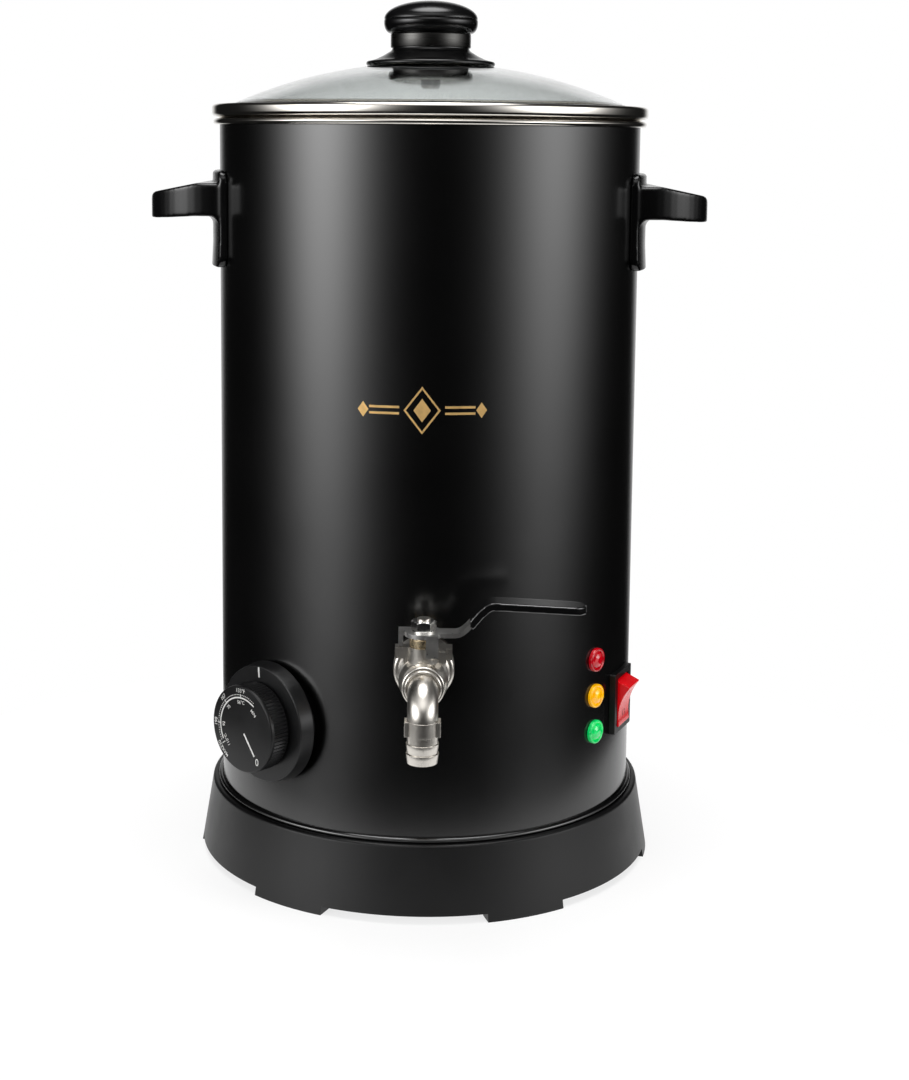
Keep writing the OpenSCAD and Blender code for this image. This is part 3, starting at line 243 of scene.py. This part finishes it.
def finish(name, colour, rough, metal=0.0, tone=0.15, tone_size=35.0, gloss=0.05, grain=0.2,
           grain_size=1400.0, depth=0.02, stretch=(1, 1, 1), coat=0.0, level=0.5):
    """A finish with uneven tone, uneven gloss and fine grain, on Object coordinates.

    tone and gloss are how far colour and roughness vary, in clouds of tone_size. grain is the
    strength of a bump of the given depth in millimetres. stretch draws both out along an axis.
    """
    made = bpy.data.materials.new(name)
    made.use_nodes = True
    tree = made.node_tree
    shader = tree.nodes["Principled BSDF"]
    shader.inputs["Metallic"].default_value = metal
    shader.inputs["Specular IOR Level"].default_value = level
    shader.inputs["Coat Weight"].default_value = coat
    shader.inputs["Coat Roughness"].default_value = 0.06
    place = tree.nodes.new("ShaderNodeTexCoord")
    spread = tree.nodes.new("ShaderNodeMapping")
    spread.inputs["Scale"].default_value = stretch
    tree.links.new(place.outputs["Object"], spread.inputs["Vector"])
    clouds = noise(tree, spread.outputs[0], tone_size, 4)
    specks = noise(tree, spread.outputs[0], grain_size, 2)

    shades = tree.nodes.new("ShaderNodeValToRGB")
    dark, pale = shades.color_ramp.elements
    dark.position = 0.3
    pale.position = 0.7
    dark.color = [c * (1 - tone) for c in colour] + [1]
    pale.color = [min(1, c * (1 + tone)) for c in colour] + [1]
    tree.links.new(clouds, shades.inputs["Fac"])
    tree.links.new(shades.outputs["Color"], shader.inputs["Base Color"])

    mixed = joined(tree, "MULTIPLY", joined(tree, "ADD", clouds, specks), 0.5)
    sheen = ramp(tree, mixed, 0.3, 0.7, rough - gloss, rough + gloss, "LINEAR")
    tree.links.new(sheen, shader.inputs["Roughness"])

    bumps = tree.nodes.new("ShaderNodeBump")
    bumps.inputs["Strength"].default_value = grain
    bumps.inputs["Distance"].default_value = depth * mm
    tree.links.new(specks, bumps.inputs["Height"])
    tree.links.new(bumps.outputs["Normal"], shader.inputs["Normal"])
    return made


def arc(across, up, radius, start, end, steps):
    """Points of an arc in an outline, from one angle in degrees to another."""
    turns = [math.radians(start + (end - start) * i / steps) for i in range(steps + 1)]
    return [(across + radius * math.cos(a), up + radius * math.sin(a)) for a in turns]


def lathe(outline, steps, closed=True):
    """Turns an outline of (radius, height) points once round the Z axis, and welds what meets."""
    shape = bmesh.new()
    points = [shape.verts.new((across, 0, up)) for across, up in outline]
    for one, next_one in zip(points, points[1:]):
        shape.edges.new((one, next_one))
    if closed:
        shape.edges.new((points[-1], points[0]))
    bmesh.ops.spin(shape, geom=shape.verts[:] + shape.edges[:], cent=(0, 0, 0), axis=(0, 0, 1),
                   angle=math.radians(360), steps=steps, use_merge=True)
    bmesh.ops.remove_doubles(shape, verts=shape.verts, dist=weld)
    return shape


def piece(name, shape, material, body, place=Matrix.Identity(4), sharp=32, recalc=True):
    """Makes the finished object of a shape drawn in millimetres, and hangs it on its body."""
    if recalc:
        bmesh.ops.recalc_face_normals(shape, faces=shape.faces)
    shape.transform(place @ Matrix.Scale(mm, 4))
    for face in shape.faces:
        face.smooth = True
    for edge in shape.edges:
        edge.smooth = len(edge.link_faces) == 2 and edge.calc_face_angle(0) < math.radians(sharp)
    mesh = mesh_of(name, shape)
    if "custom_normal" in mesh.attributes:
        mesh.attributes.remove(mesh.attributes["custom_normal"])
    mesh.materials.clear()
    mesh.materials.append(material)
    made = shown(name, mesh)
    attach(made, body)
    return made


satin_paint = finish("satin_black_paint", (0.0007, 0.0007, 0.00075), 0.20, tone=0.2, tone_size=18,
                     gloss=0.03, grain=0.15, grain_size=1600, depth=0.006, level=0.9)
shell_radius = 105.0
shell_inside = 104.2
shell_head = 371.9
hem_across = 105.9
hem_up = 37.3
hem_radius = 1.4
shell_outline = (
    [(shell_inside, shell_head), (shell_inside, 37.8)]
    + arc(hem_across, hem_up, hem_radius, 195, 485, 18)
    + [(shell_radius, 38.9), (shell_radius, shell_head)]
)
shell = piece("painted_shell", lathe(shell_outline, 192), satin_paint, "body")
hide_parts("outer_shell")

# ---- Gilt ornament ----
# A gold-coloured transfer on the front of the shell: two lozenges, one inside the other, between
# fine double rules that end in small lozenges.
gilt = finish("gilt_transfer", (0.92, 0.58, 0.22), 0.42, metal=0.45, tone=0.12, tone_size=300,
              gloss=0.06, grain=0.2, grain_size=2600, depth=0.005)
ornament_azimuth = -1.0
ornament_height = 241.0
ornament_half = 30.0
gilt_thick = 0.08
gilt_lift = 0.01


def on_shell(azimuth, height):
    """Puts a shape on the shell: x across, y up, z outwards from the body's axis."""
    return (
        Matrix.Rotation(math.radians(azimuth), 4, "Z")
        @ Matrix.Translation((0, 0, height * mm))
        @ Matrix.Rotation(math.radians(90), 4, "X")
    )


def add_shape(shape, other):
    """Adds another shape to a shape."""
    held = mesh_of("held", other)
    shape.from_mesh(held)
    bpy.data.meshes.remove(held)


def add_block(shape, low, high):
    """Adds a block between two corners to a shape, and gives back its points."""
    made = bmesh.ops.create_cube(shape, size=1)["verts"]
    bmesh.ops.scale(shape, vec=[b - a for a, b in zip(low, high)], verts=made)
    bmesh.ops.translate(shape, vec=[(a + b) / 2 for a, b in zip(low, high)], verts=made)
    return made


def gilt_lozenge(shape, across, half_wide, half_tall, line):
    """A lozenge of the ornament: an outline of the given width, or a solid one for 0."""
    within = half_wide - line if line else 0
    rim = [(within, 0), (half_wide, 0), (half_wide, gilt_thick), (within, gilt_thick)]
    ring = lathe(rim, 4, closed=bool(line))
    bmesh.ops.scale(ring, vec=(1, half_tall / half_wide, 1), verts=ring.verts)
    bmesh.ops.translate(ring, vec=(across, 0, 0), verts=ring.verts)
    add_shape(shape, ring)


ornament = bmesh.new()
gilt_lozenge(ornament, 0, 8.5, 11.0, 1.1)
gilt_lozenge(ornament, 0, 4.0, 5.4, 0)
for side in (-1, 1):
    left, right = sorted((side * 10.5, side * (ornament_half - 5.5)))
    for low, high in ((0.9, 2.0), (-2.0, -0.9)):
        add_block(ornament, (left, low, 0), (right, high, gilt_thick))
    gilt_lozenge(ornament, side * (ornament_half - 2.6), 2.6, 3.6, 0)
bmesh.ops.subdivide_edges(ornament, edges=ornament.edges[:], cuts=6, use_grid_fill=True)
for point in ornament.verts:
    turn = point.co.x / shell_radius
    out = shell_radius + gilt_lift + point.co.z
    point.co = (out * math.sin(turn), point.co.y, out * math.cos(turn))
piece("gilt_ornament", ornament, gilt, "body", on_shell(ornament_azimuth, ornament_height))

# ---- Base ring, bottom plate and their screws ----
# The base is one black moulding with six feet and a spark-eroded matt face. A vented steel
# plate closes it from below, held by four screws and the stud in the middle.
packed_weld = 0.002
flat_angle = 0.5


def dressed(node, name, material, edge=0.0, sharp=32):
    """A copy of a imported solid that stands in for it, with its sharp edges broken.

    Points nearer than packed_weld become one, and so do faces that meet within flat_angle.
    """
    shape = bmesh.new()
    shape.from_mesh(frame["nodes"][node].data)
    bmesh.ops.scale(shape, vec=(1 / mm, 1 / mm, 1 / mm), verts=shape.verts)
    bmesh.ops.remove_doubles(shape, verts=shape.verts, dist=packed_weld)
    bmesh.ops.dissolve_limit(shape, angle_limit=math.radians(flat_angle), verts=shape.verts,
                             edges=shape.edges)
    made = piece(name, shape, material, frame["nodes"][node]["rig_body"], sharp=sharp, recalc=False)
    if edge:
        rounding = made.modifiers.new("broken_edges", "BEVEL")
        rounding.width = edge * mm
        rounding.segments = 2
        rounding.limit_method = "ANGLE"
        rounding.angle_limit = math.radians(sharp)
        rounding.harden_normals = True
    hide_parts(node)
    return made


def kept(node, material):
    """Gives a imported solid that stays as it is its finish."""
    for slot in frame["nodes"][node].material_slots:
        slot.material = material


matt_plastic = finish("matt_black_plastic", (0.0020, 0.0020, 0.0022), 0.40, tone=0.15, tone_size=60,
                      gloss=0.05, grain=0.4, grain_size=2200, depth=0.02, level=0.30)
dressed("base_ring", "base_moulding", matt_plastic, edge=0.35)
zinc_plate = finish("zinc_plated_steel", (0.60, 0.61, 0.62), 0.32, metal=1.0, tone=0.10, tone_size=220,
                    gloss=0.08, grain=0.2, grain_size=2500, depth=0.01)
for node in ("bottom_plate", "base_screws", "tie_stud", "tie_nut"):
    kept(node, zinc_plate)

# ---- Pot, outlet and heater ----
# A deep-drawn steel pot hangs by its rolled rim on the shell. A cast plate with a ring element
# is drawn up under it. The outlet is a welded socket with a nipple and a silicone washer.


def settled_mesh(made):
    """A new mesh of an object with its curve or its modifiers worked out."""
    bpy.context.view_layer.update()
    return bpy.data.meshes.new_from_object(made.evaluated_get(bpy.context.evaluated_depsgraph_get()))


polished = finish("polished_steel", (0.80, 0.765, 0.71), 0.13, metal=1.0, tone=0.05, tone_size=60,
                  gloss=0.04, grain=0.03, grain_size=400, depth=0.004, stretch=(0.25, 0.25, 1))
pot_floor = 110.4
pot_sheet = 0.8
pot_corner = 28
corner_across = 71.2
corner_up = pot_floor + pot_corner
rim_top = 372.8
rim_bead_radius = 1.5
pot_outline = (
    [(0, pot_floor - pot_sheet)]
    + arc(corner_across, corner_up, pot_corner + pot_sheet, -90, 0, 14)
    + [(100, 371.2), (100.6, 372.0), (105.27, 372.0)]
    + arc(106.6, 371.3, rim_bead_radius, 152, 450, 24)
    + arc(100.0, 372.0, pot_sheet, 90, 180, 4)
    + arc(corner_across, corner_up, pot_corner, 0, -90, 14)
    + [(0, pot_floor)]
)
pot = piece("drawn_pot", lathe(pot_outline, 192, closed=False), polished, "body", sharp=40)
socket_low, socket_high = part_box("outlet_socket")
drill_play = 0.00005
drill_radius = (socket_high[0] - socket_low[0]) / 2 + drill_play
drill_shape = bmesh.new()
bmesh.ops.create_cone(drill_shape, cap_ends=True, segments=64, radius1=drill_radius, radius2=drill_radius,
                      depth=0.06)
drill_shape.transform(
    Matrix.Translation((0, socket_low[1], (socket_high[2] + socket_low[2]) / 2))
    @ Matrix.Rotation(math.radians(90), 4, "X")
)
drill = shown("drill", mesh_of("drill", drill_shape))
hole = pot.modifiers.new("outlet_hole", "BOOLEAN")
hole.operation = "DIFFERENCE"
hole.object = drill
pot.data = settled_mesh(pot)
pot.modifiers.clear()
bpy.data.objects.remove(drill)
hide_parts("inner_pot")
for node in ("outlet_socket", "outlet_nipple"):
    kept(node, polished)
cast_metal = finish("cast_aluminium", (0.60, 0.60, 0.60), 0.45, metal=1.0, grain=0.6, grain_size=1200,
                    depth=0.06)
kept("heater_plate", cast_metal)
for node in ("heater_element", "heater_screws", "bulb_clip"):
    kept(node, zinc_plate)
silicone = finish("red_silicone", (0.42, 0.05, 0.035), 0.60, grain=0.2, grain_size=1800)
kept("outlet_gasket", silicone)
ceramic = finish("pale_ceramic_plastic", (0.78, 0.76, 0.70), 0.55, tone=0.05, grain=0.3, grain_size=1500)
kept("thermal_cutout", ceramic)
drawn_copper = finish("drawn_copper", (0.70, 0.42, 0.28), 0.28, metal=1.0, tone=0.15, tone_size=120)
kept("sensor_bulb", drawn_copper)

# ---- Dial ----
# A black escutcheon is screwed through the shell to the thermostat. The ribbed knob is pushed on
# its shaft, and both carry white pad-printed marks.
dial_azimuth = -42.5
dial_height = 86.4
bezel_face = 115.0
dial_face = 127.0
print_sink = 0.02
print_rise = 0.05
dial_plastic = finish("dial_black_plastic", (0.0060, 0.0060, 0.0064), 0.34, tone=0.15, tone_size=80,
                      gloss=0.05, grain=0.25, grain_size=2600, depth=0.008, level=0.30)
dressed("dial_bezel", "dial_escutcheon", dial_plastic, edge=0.3)
dressed("dial_knob", "thermostat_knob", dial_plastic, edge=0.12, sharp=25)
kept("thermostat_body", ceramic)
kept("thermostat_shaft", zinc_plate)
kept("dial_screws", zinc_plate)
white_print = finish("white_pad_print", (0.80, 0.80, 0.78), 0.50, tone=0.06, tone_size=900, grain=0.3,
                     grain_size=3000, depth=0.01)


def rim_line(shape, face, radius, start, end, wide):
    """A printed line along an arc, on a face at the given height."""
    low = face - print_sink
    high = face + print_rise
    inner = radius - wide / 2
    outer = radius + wide / 2
    turn = Matrix.Rotation(math.radians(start), 4, "Z")
    corners = [(inner, low), (outer, low), (outer, high), (inner, high)]
    points = [shape.verts.new(turn @ Vector((across, 0, up))) for across, up in corners]
    bmesh.ops.spin(shape, geom=[shape.faces.new(points)], cent=(0, 0, 0), axis=(0, 0, 1),
                   angle=math.radians(end - start), steps=max(1, round((end - start) / 4)))


def spoke(shape, face, turn, start, end, wide):
    """A printed line along a radius, on a face at the given height."""
    made = add_block(shape, (start, -wide / 2, face - print_sink), (end, wide / 2, face + print_rise))
    bmesh.ops.rotate(shape, cent=(0, 0, 0), matrix=Matrix.Rotation(math.radians(turn), 3, "Z"), verts=made)


def lettering(shape, face, words, size, turn, radius, lean=None):
    """Words printed round a face, with their heads outwards unless lean says otherwise."""
    low = face - print_sink
    high = face + print_rise
    curve = bpy.data.curves.new("letters", "FONT")
    curve.body = words
    curve.size = size
    curve.align_x = "CENTER"
    curve.align_y = "CENTER"
    curve.offset = 0.01
    curve.extrude = (high - low) / 2
    letters = shown("letters", curve)
    mesh = settled_mesh(letters)
    lean = turn - 90 if lean is None else lean
    mesh.transform(
        Matrix.Rotation(math.radians(turn), 4, "Z")
        @ Matrix.Translation((radius, 0, (low + high) / 2))
        @ Matrix.Rotation(math.radians(lean - turn), 4, "Z")
    )
    shape.from_mesh(mesh)
    bpy.data.objects.remove(letters)
    bpy.data.curves.remove(curve)
    bpy.data.meshes.remove(mesh)


zero_turn = -53
scale_radius = 15.2
tick_radius = 16.6
outer_numbers = 18.5
inner_numbers = 12.9
numbers = ((93, "133°F", "56°C"), (136, "167", "75"), (180, "198", "92"), (215, "230", "110°C"))
marks = bmesh.new()
rim_line(marks, dial_face, scale_radius, 57, 209, 0.7)
for turn in range(60, 212, 4):
    rim_line(marks, dial_face, tick_radius, turn, turn + 2.2, 0.32)
for turn, outer, inner in numbers:
    lettering(marks, dial_face, outer, 2.7, turn, outer_numbers)
    lettering(marks, dial_face, inner, 2.4, turn, inner_numbers)
    spoke(marks, dial_face, turn, 14.7, 17.0, 0.45)
lettering(marks, dial_face, "MIN", 2.3, 50, 12.4)
lettering(marks, dial_face, "MAX", 2.3, 229, 18.3)
lettering(marks, dial_face, "0", 4.8, zero_turn, 17.4, lean=0)
spoke(marks, dial_face, zero_turn, 2.2, 14.3, 0.95)
dial_place = on_shell(dial_azimuth, dial_height)
piece("dial_marks", marks, white_print, "dial", dial_place, recalc=False)
index = bmesh.new()
spoke(index, bezel_face, 93, 22.6, 27.4, 1.0)
piece("dial_index", index, white_print, "body", dial_place, recalc=False)

# ---- Ball valve ----
# A forged brass body, satin nickel plated: round rear flange, packing boss, two stop lugs and a
# screwed front collar. The lever is a bent steel strap in a dipped black vinyl sleeve.


def softened(node, name, material, voxel, passes):
    """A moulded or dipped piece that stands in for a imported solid, with well rounded edges."""
    made = dressed(node, name, material)
    even = made.modifiers.new("even_mesh", "REMESH")
    even.mode = "VOXEL"
    even.voxel_size = voxel * mm
    even.use_smooth_shade = True
    rounded = made.modifiers.new("rounded_edges", "SMOOTH")
    rounded.factor = 0.5
    rounded.iterations = passes


satin_nickel = finish("satin_nickel", (0.72, 0.685, 0.63), 0.30, metal=1.0, tone=0.05, tone_size=160,
                      gloss=0.04, grain=0.08, grain_size=1200, depth=0.006)
dressed("valve_body", "valve_forging", satin_nickel, edge=0.35)
dressed("valve_end_cap", "valve_front_ring", satin_nickel, edge=0.15)
kept("valve_stem", satin_nickel)
kept("valve_ball", polished)
white_seal = finish("white_seal", (0.86, 0.86, 0.84), 0.42, tone=0.03)
kept("valve_seats", white_seal)
pale_brass = finish("pale_brass", (0.76, 0.62, 0.40), 0.28, metal=1.0, tone=0.1, tone_size=150)
dressed("stem_packing", "gland_ring", pale_brass, edge=0.2)
strap_steel = finish("bright_strap", (0.76, 0.75, 0.73), 0.32, metal=1.0, tone=0.06, tone_size=200,
                     gloss=0.06, grain=0.15, grain_size=900, depth=0.01)
dressed("valve_lever", "lever_strap", strap_steel, edge=0.35)
vinyl = finish("dipped_black_vinyl", (0.0030, 0.0030, 0.0032), 0.17, tone=0.1, tone_size=60, gloss=0.05,
               grain=0.1, grain_size=500, depth=0.01, level=0.7, coat=1.0)
softened("lever_sleeve", "lever_grip", vinyl, voxel=0.35, passes=6)
bright_zinc = finish("bright_zinc", (0.78, 0.77, 0.74), 0.16, metal=1.0, tone=0.06, tone_size=250)
dressed("lever_washer", "lever_washer_ring", bright_zinc, edge=0.1)
dressed("lever_nut", "lever_lock_nut", bright_zinc, edge=0.3)

# ---- Hose spout ----
# A bent tube with a collar, two wings for a clip and two sharp hose barbs, nickel plated.
# Its straight end is fixed in the valve's front collar.
dressed("spout_elbow", "spout_pipe", satin_nickel, edge=0.12)

# ---- Indicator lamps ----
# Three snap-in lamps, each one clear coloured moulding: a rounded rim and a dome cut in facets,
# with a small lamp glowing behind it.
lamp_azimuth = 52
lamp_low = 77.9
lamp_pitch = 18.0
lamp_radius = 5.8
lamp_seat = 105.1
lamp_shank = 4.5
lamp_shank_length = 7
lamp_rim = 0.75
lamp_colours = (
    ("green", (0.0, 0.58, 0.12), 0.46),
    ("amber", (0.95, 0.41, 0.0), 0.52),
    ("red", (0.45, 0.0, 0.006), 0.36),
)


def lamp_glow_and_painted_glow(material, colour, strength):
    """Gives a clear coloured plastic an even glow: the light of a small lamp behind it on the indicator
    lamps, and on the rocker a painted glow that stands in for light shining through the plastic.
    """
    shader = material.node_tree.nodes["Principled BSDF"]
    shader.inputs["Emission Color"].default_value = (*colour, 1)
    shader.inputs["Emission Strength"].default_value = strength


def faceted_lamp():
    """The lens: a tube through the shell, a round rim and a cut dome inside it."""
    inner = lamp_radius - 2 * lamp_rim
    tail = lamp_seat - lamp_shank_length
    rim = (
        [(0, tail), (lamp_shank, tail), (lamp_shank, lamp_seat), (lamp_radius, lamp_seat)]
        + arc(lamp_radius - lamp_rim, lamp_seat + 1.15, lamp_rim, 0, 180, 26)
        + [(inner, lamp_seat + 0.7), (0, lamp_seat + 0.7)]
    )
    shape = lathe(rim, 64, closed=False)
    cut = [(inner, lamp_seat + 0.5), (inner, lamp_seat + 1.1), (inner * 0.78, lamp_seat + 2.1),
           (inner * 0.42, lamp_seat + 2.75), (0, lamp_seat + 2.9)]
    facets = lathe(cut, 10, closed=False)
    for part in (facets, shape):
        bmesh.ops.recalc_face_normals(part, faces=part.faces)
    add_shape(shape, facets)
    return shape


for row, (name, colour, strength) in enumerate(lamp_colours):
    lens = finish(name + "_lens_plastic", colour, 0.10, tone=0.45, tone_size=420, gloss=0.04, grain=0.05,
                  grain_size=900, depth=0.01, coat=0.6)
    lamp_glow_and_painted_glow(lens, colour, strength)
    lamp_place = on_shell(lamp_azimuth, lamp_low + row * lamp_pitch)
    lamp = piece(name + "_lamp", faceted_lamp(), lens, "body", lamp_place, sharp=8,
                 recalc=False)
    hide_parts("lamp_" + name)
kept("lamp_holders", ceramic)

# ---- Rocker switch ----
# A snap-in switch: a black frame and a clear red rocker with a small lamp in it. A ring and a
# bar are printed on the rocker's two halves, and it stands tilted to the ring, which is OFF.
# The rocker's red glow is painted light, for light shining through the clear plastic.
dressed("switch_housing", "switch_frame", matt_plastic, edge=0.35)
kept("switch_terminals", pale_brass)
rocker_red = finish("clear_red_plastic", (0.50, 0.002, 0.006), 0.24, tone=0.15, tone_size=120, gloss=0.05,
                    grain=0.10, grain_size=700, depth=0.01, level=0.35)
# Painted glow: an even red emission on the rocker stands in for light shining through the clear plastic.
lamp_glow_and_painted_glow(rocker_red, (0.9, 0.0, 0.004), 0.28)
dressed("switch_rocker", "rocker_key", rocker_red, edge=0.3)
mark_red = finish("dark_red_print", (0.16, 0.002, 0.004), 0.5, tone=0.1, tone_size=900, grain=0.2,
                  grain_size=2600)
switch_azimuth = 67
switch_height = 87.4
rocker_pivot = 103.0
rocker_lean = 14
mark_rise = 5.4
mark_depth = 6.37
mark_slope = 13.7
rocker_place = (
    on_shell(switch_azimuth, switch_height)
    @ Matrix.Translation((0, 0, rocker_pivot * mm))
    @ Matrix.Rotation(math.radians(rocker_lean), 4, "X")
)


def rocker_half(side):
    """Puts a mark on the upper half of the rocker for 1, or on the lower half for -1."""
    return (
        rocker_place
        @ Matrix.Translation((0, side * mark_rise * mm, mark_depth * mm))
        @ Matrix.Rotation(math.radians(side * mark_slope), 4, "X")
    )


ring_outline = [(1.5, -print_sink), (2.1, -print_sink), (2.1, print_rise), (1.5, print_rise)]
piece("off_mark", lathe(ring_outline, 48), mark_red, "rocker", rocker_half(-1))
on_mark = bmesh.new()
spoke(on_mark, 0, 90, -2.0, 2.0, 0.7)
piece("on_mark", on_mark, mark_red, "rocker", rocker_half(1))

# ---- Handles ----
# Two glossy phenolic mouldings with well rounded grips. Each is held by screws that come through
# the shell from inside.
phenolic = finish("black_phenolic", (0.0025, 0.0025, 0.0027), 0.20, tone=0.2, tone_size=60, gloss=0.05,
                  grain=0.1, grain_size=1200, depth=0.004, level=0.45)
softened("handle_left", "grip_left", phenolic, voxel=0.6, passes=10)
softened("handle_right", "grip_right", phenolic, voxel=0.6, passes=10)
kept("handle_screws", zinc_plate)

# ---- Lid glass and band ----
# A pressed glass dome, slightly smeared, with a flat edge in a folded steel band. Under its
# middle are a seat and a washer, through which one screw draws the knob down.
glass = bpy.data.materials.new("toughened_glass")
glass.use_nodes = True
tree = glass.node_tree
shader = tree.nodes["Principled BSDF"]
shader.inputs["Base Color"].default_value = (0.90, 0.93, 0.92, 1)
shader.inputs["Transmission Weight"].default_value = 1.0
shader.inputs["IOR"].default_value = 1.50
place = tree.nodes.new("ShaderNodeTexCoord")
smears = noise(tree, place.outputs["Object"], 25, 5)
tree.links.new(ramp(tree, smears, 0.35, 0.75, 0.0, 0.06, "LINEAR"), shader.inputs["Roughness"])
dome_centre = 161.09
dome_radius = 240.21
glass_thick = 3.6


def dome_up(across, inset=0.0):
    """Height of the dome's curve at a distance from the axis."""
    return dome_centre + math.sqrt((dome_radius - inset) ** 2 - across * across)


dome_outline = (
    [(r, dome_up(r)) for r in [4 + 94 * i / 26 for i in range(27)]]
    + [(98.6, 378.9), (106.2, 378.9), (106.6, 378.5), (106.6, 375.1), (106.2, 374.7), (98.4, 374.7)]
    + [(r, dome_up(r, glass_thick)) for r in [95 - 91 * i / 26 for i in range(27)]]
)
dome = piece("glass_dome", lathe(dome_outline, 160), glass, "lid")
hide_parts("lid_glass")
fold_across = 107.0
lower_fold = 375.6
upper_fold = 378.0
fold_outside = 1.8
fold_inside = 1.0
band_outline = (
    [(97.0, 367.8), (97.8, 367.8), (97.8, 372.4), (98.2, rim_top), (104.6, rim_top)]
    + [(105.5, 373.4), (106.3, 373.8)]
    + arc(fold_across, lower_fold, fold_outside, -90, 0, 8)
    + arc(fold_across, upper_fold, fold_outside, 0, 90, 8)
    + [(99.2, 380.1), (99.2, 379.3)]
    + arc(fold_across, upper_fold, fold_inside, 90, 0, 6)
    + arc(fold_across, lower_fold, fold_inside, 0, -90, 6)
    + [(105.2, 374.6), (103.8, 373.6), (97.0, 373.6)]
)
band = piece("lid_band", lathe(band_outline, 192), polished, "lid", sharp=40)
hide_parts("lid_rim")
dressed("lid_seat", "glass_seat", phenolic, edge=0.2)
dressed("lid_washer", "seat_washer", bright_zinc, edge=0.2)
kept("lid_screw", zinc_plate)

# ---- Lid knob ----
# A stack of phenolic turnings: a flared foot on the glass, a bulb and a domed top. A blackened
# steel collar goes round the neck, between foot and bulb.
neck_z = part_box("lid_knob_collar")[0][2] / mm
bulb_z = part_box("lid_knob")[0][2] / mm
cap_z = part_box("lid_knob_cap")[0][2] / mm
foot_z = neck_z - 9.2
foot_lift = 0.12
knob_bore = 2.7
bulb_bore = 2.6
foot_curve = ((29.0, 3.0), (27.2, 3.6), (25.5, 4.4), (24.0, 5.1), (22.7, 5.9), (21.4, 6.7), (20.2, 7.4),
              (19.6, 8.0), (19.2, 8.7))
foot_outline = (
    [(knob_bore, neck_z)]
    + [(r, dome_up(r) + foot_lift) for r in (knob_bore, 8, 14, 20, 26, 30)]
    + arc(31.0, foot_z + 1.4, 1.2, -80, 60, 8)
    + [(across, foot_z + up) for across, up in foot_curve]
    + [(19.2, neck_z)]
)
foot = piece("knob_foot", lathe(foot_outline, 128), phenolic, "lid", sharp=40)
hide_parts("lid_knob_skirt")
black_collar = finish("blackened_collar", (0.055, 0.054, 0.052), 0.30, metal=1.0, tone=0.1, tone_size=60,
                      gloss=0.08, grain=0.2, grain_size=900, depth=0.01, stretch=(0.06, 0.06, 1))
collar_across = 19.6
collar_edge = 0.4
collar_outline = (
    [(knob_bore, neck_z)]
    + arc(collar_across, neck_z + collar_edge, collar_edge, -90, 0, 4)
    + arc(collar_across, bulb_z - 0.1 - collar_edge, collar_edge, 0, 90, 4)
    + [(knob_bore, bulb_z - 0.1)]
)
collar = piece("knob_collar", lathe(collar_outline, 128), black_collar, "lid", sharp=40)
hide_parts("lid_knob_collar")
swell = [math.pi / 2 * i / 14 for i in range(15)]
bulb_outline = (
    [(bulb_bore, bulb_z), (19.8, bulb_z)]
    + [(20 + 3.4 * math.sin(a), bulb_z + 0.3 + 5.2 * (1 - math.cos(a))) for a in swell]
    + [(23.4, cap_z - 0.4), (23.1, cap_z - 0.02), (bulb_bore, cap_z - 0.02)]
)
bulb = piece("knob_bulb", lathe(bulb_outline, 128), phenolic, "lid", sharp=40)
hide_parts("lid_knob")
crown = [math.pi / 2 * i / 20 for i in range(20)]
top_outline = (
    [(0, cap_z), (23.0, cap_z)]
    + [(23.3 * math.cos(a), cap_z + 0.4 + 9.0 * math.sin(a)) for a in crown]
    + [(0, cap_z + 9.4)]
)
top = piece("knob_top", lathe(top_outline, 128, closed=False), phenolic, "lid", sharp=40)
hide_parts("lid_knob_cap")

# ---- Power inlet ----
# A black appliance inlet with three plated pins, snapped into an opening low in the back of the
# shell.
dressed("power_inlet", "inlet_socket", matt_plastic, edge=0.3)
kept("inlet_pins", satin_nickel)
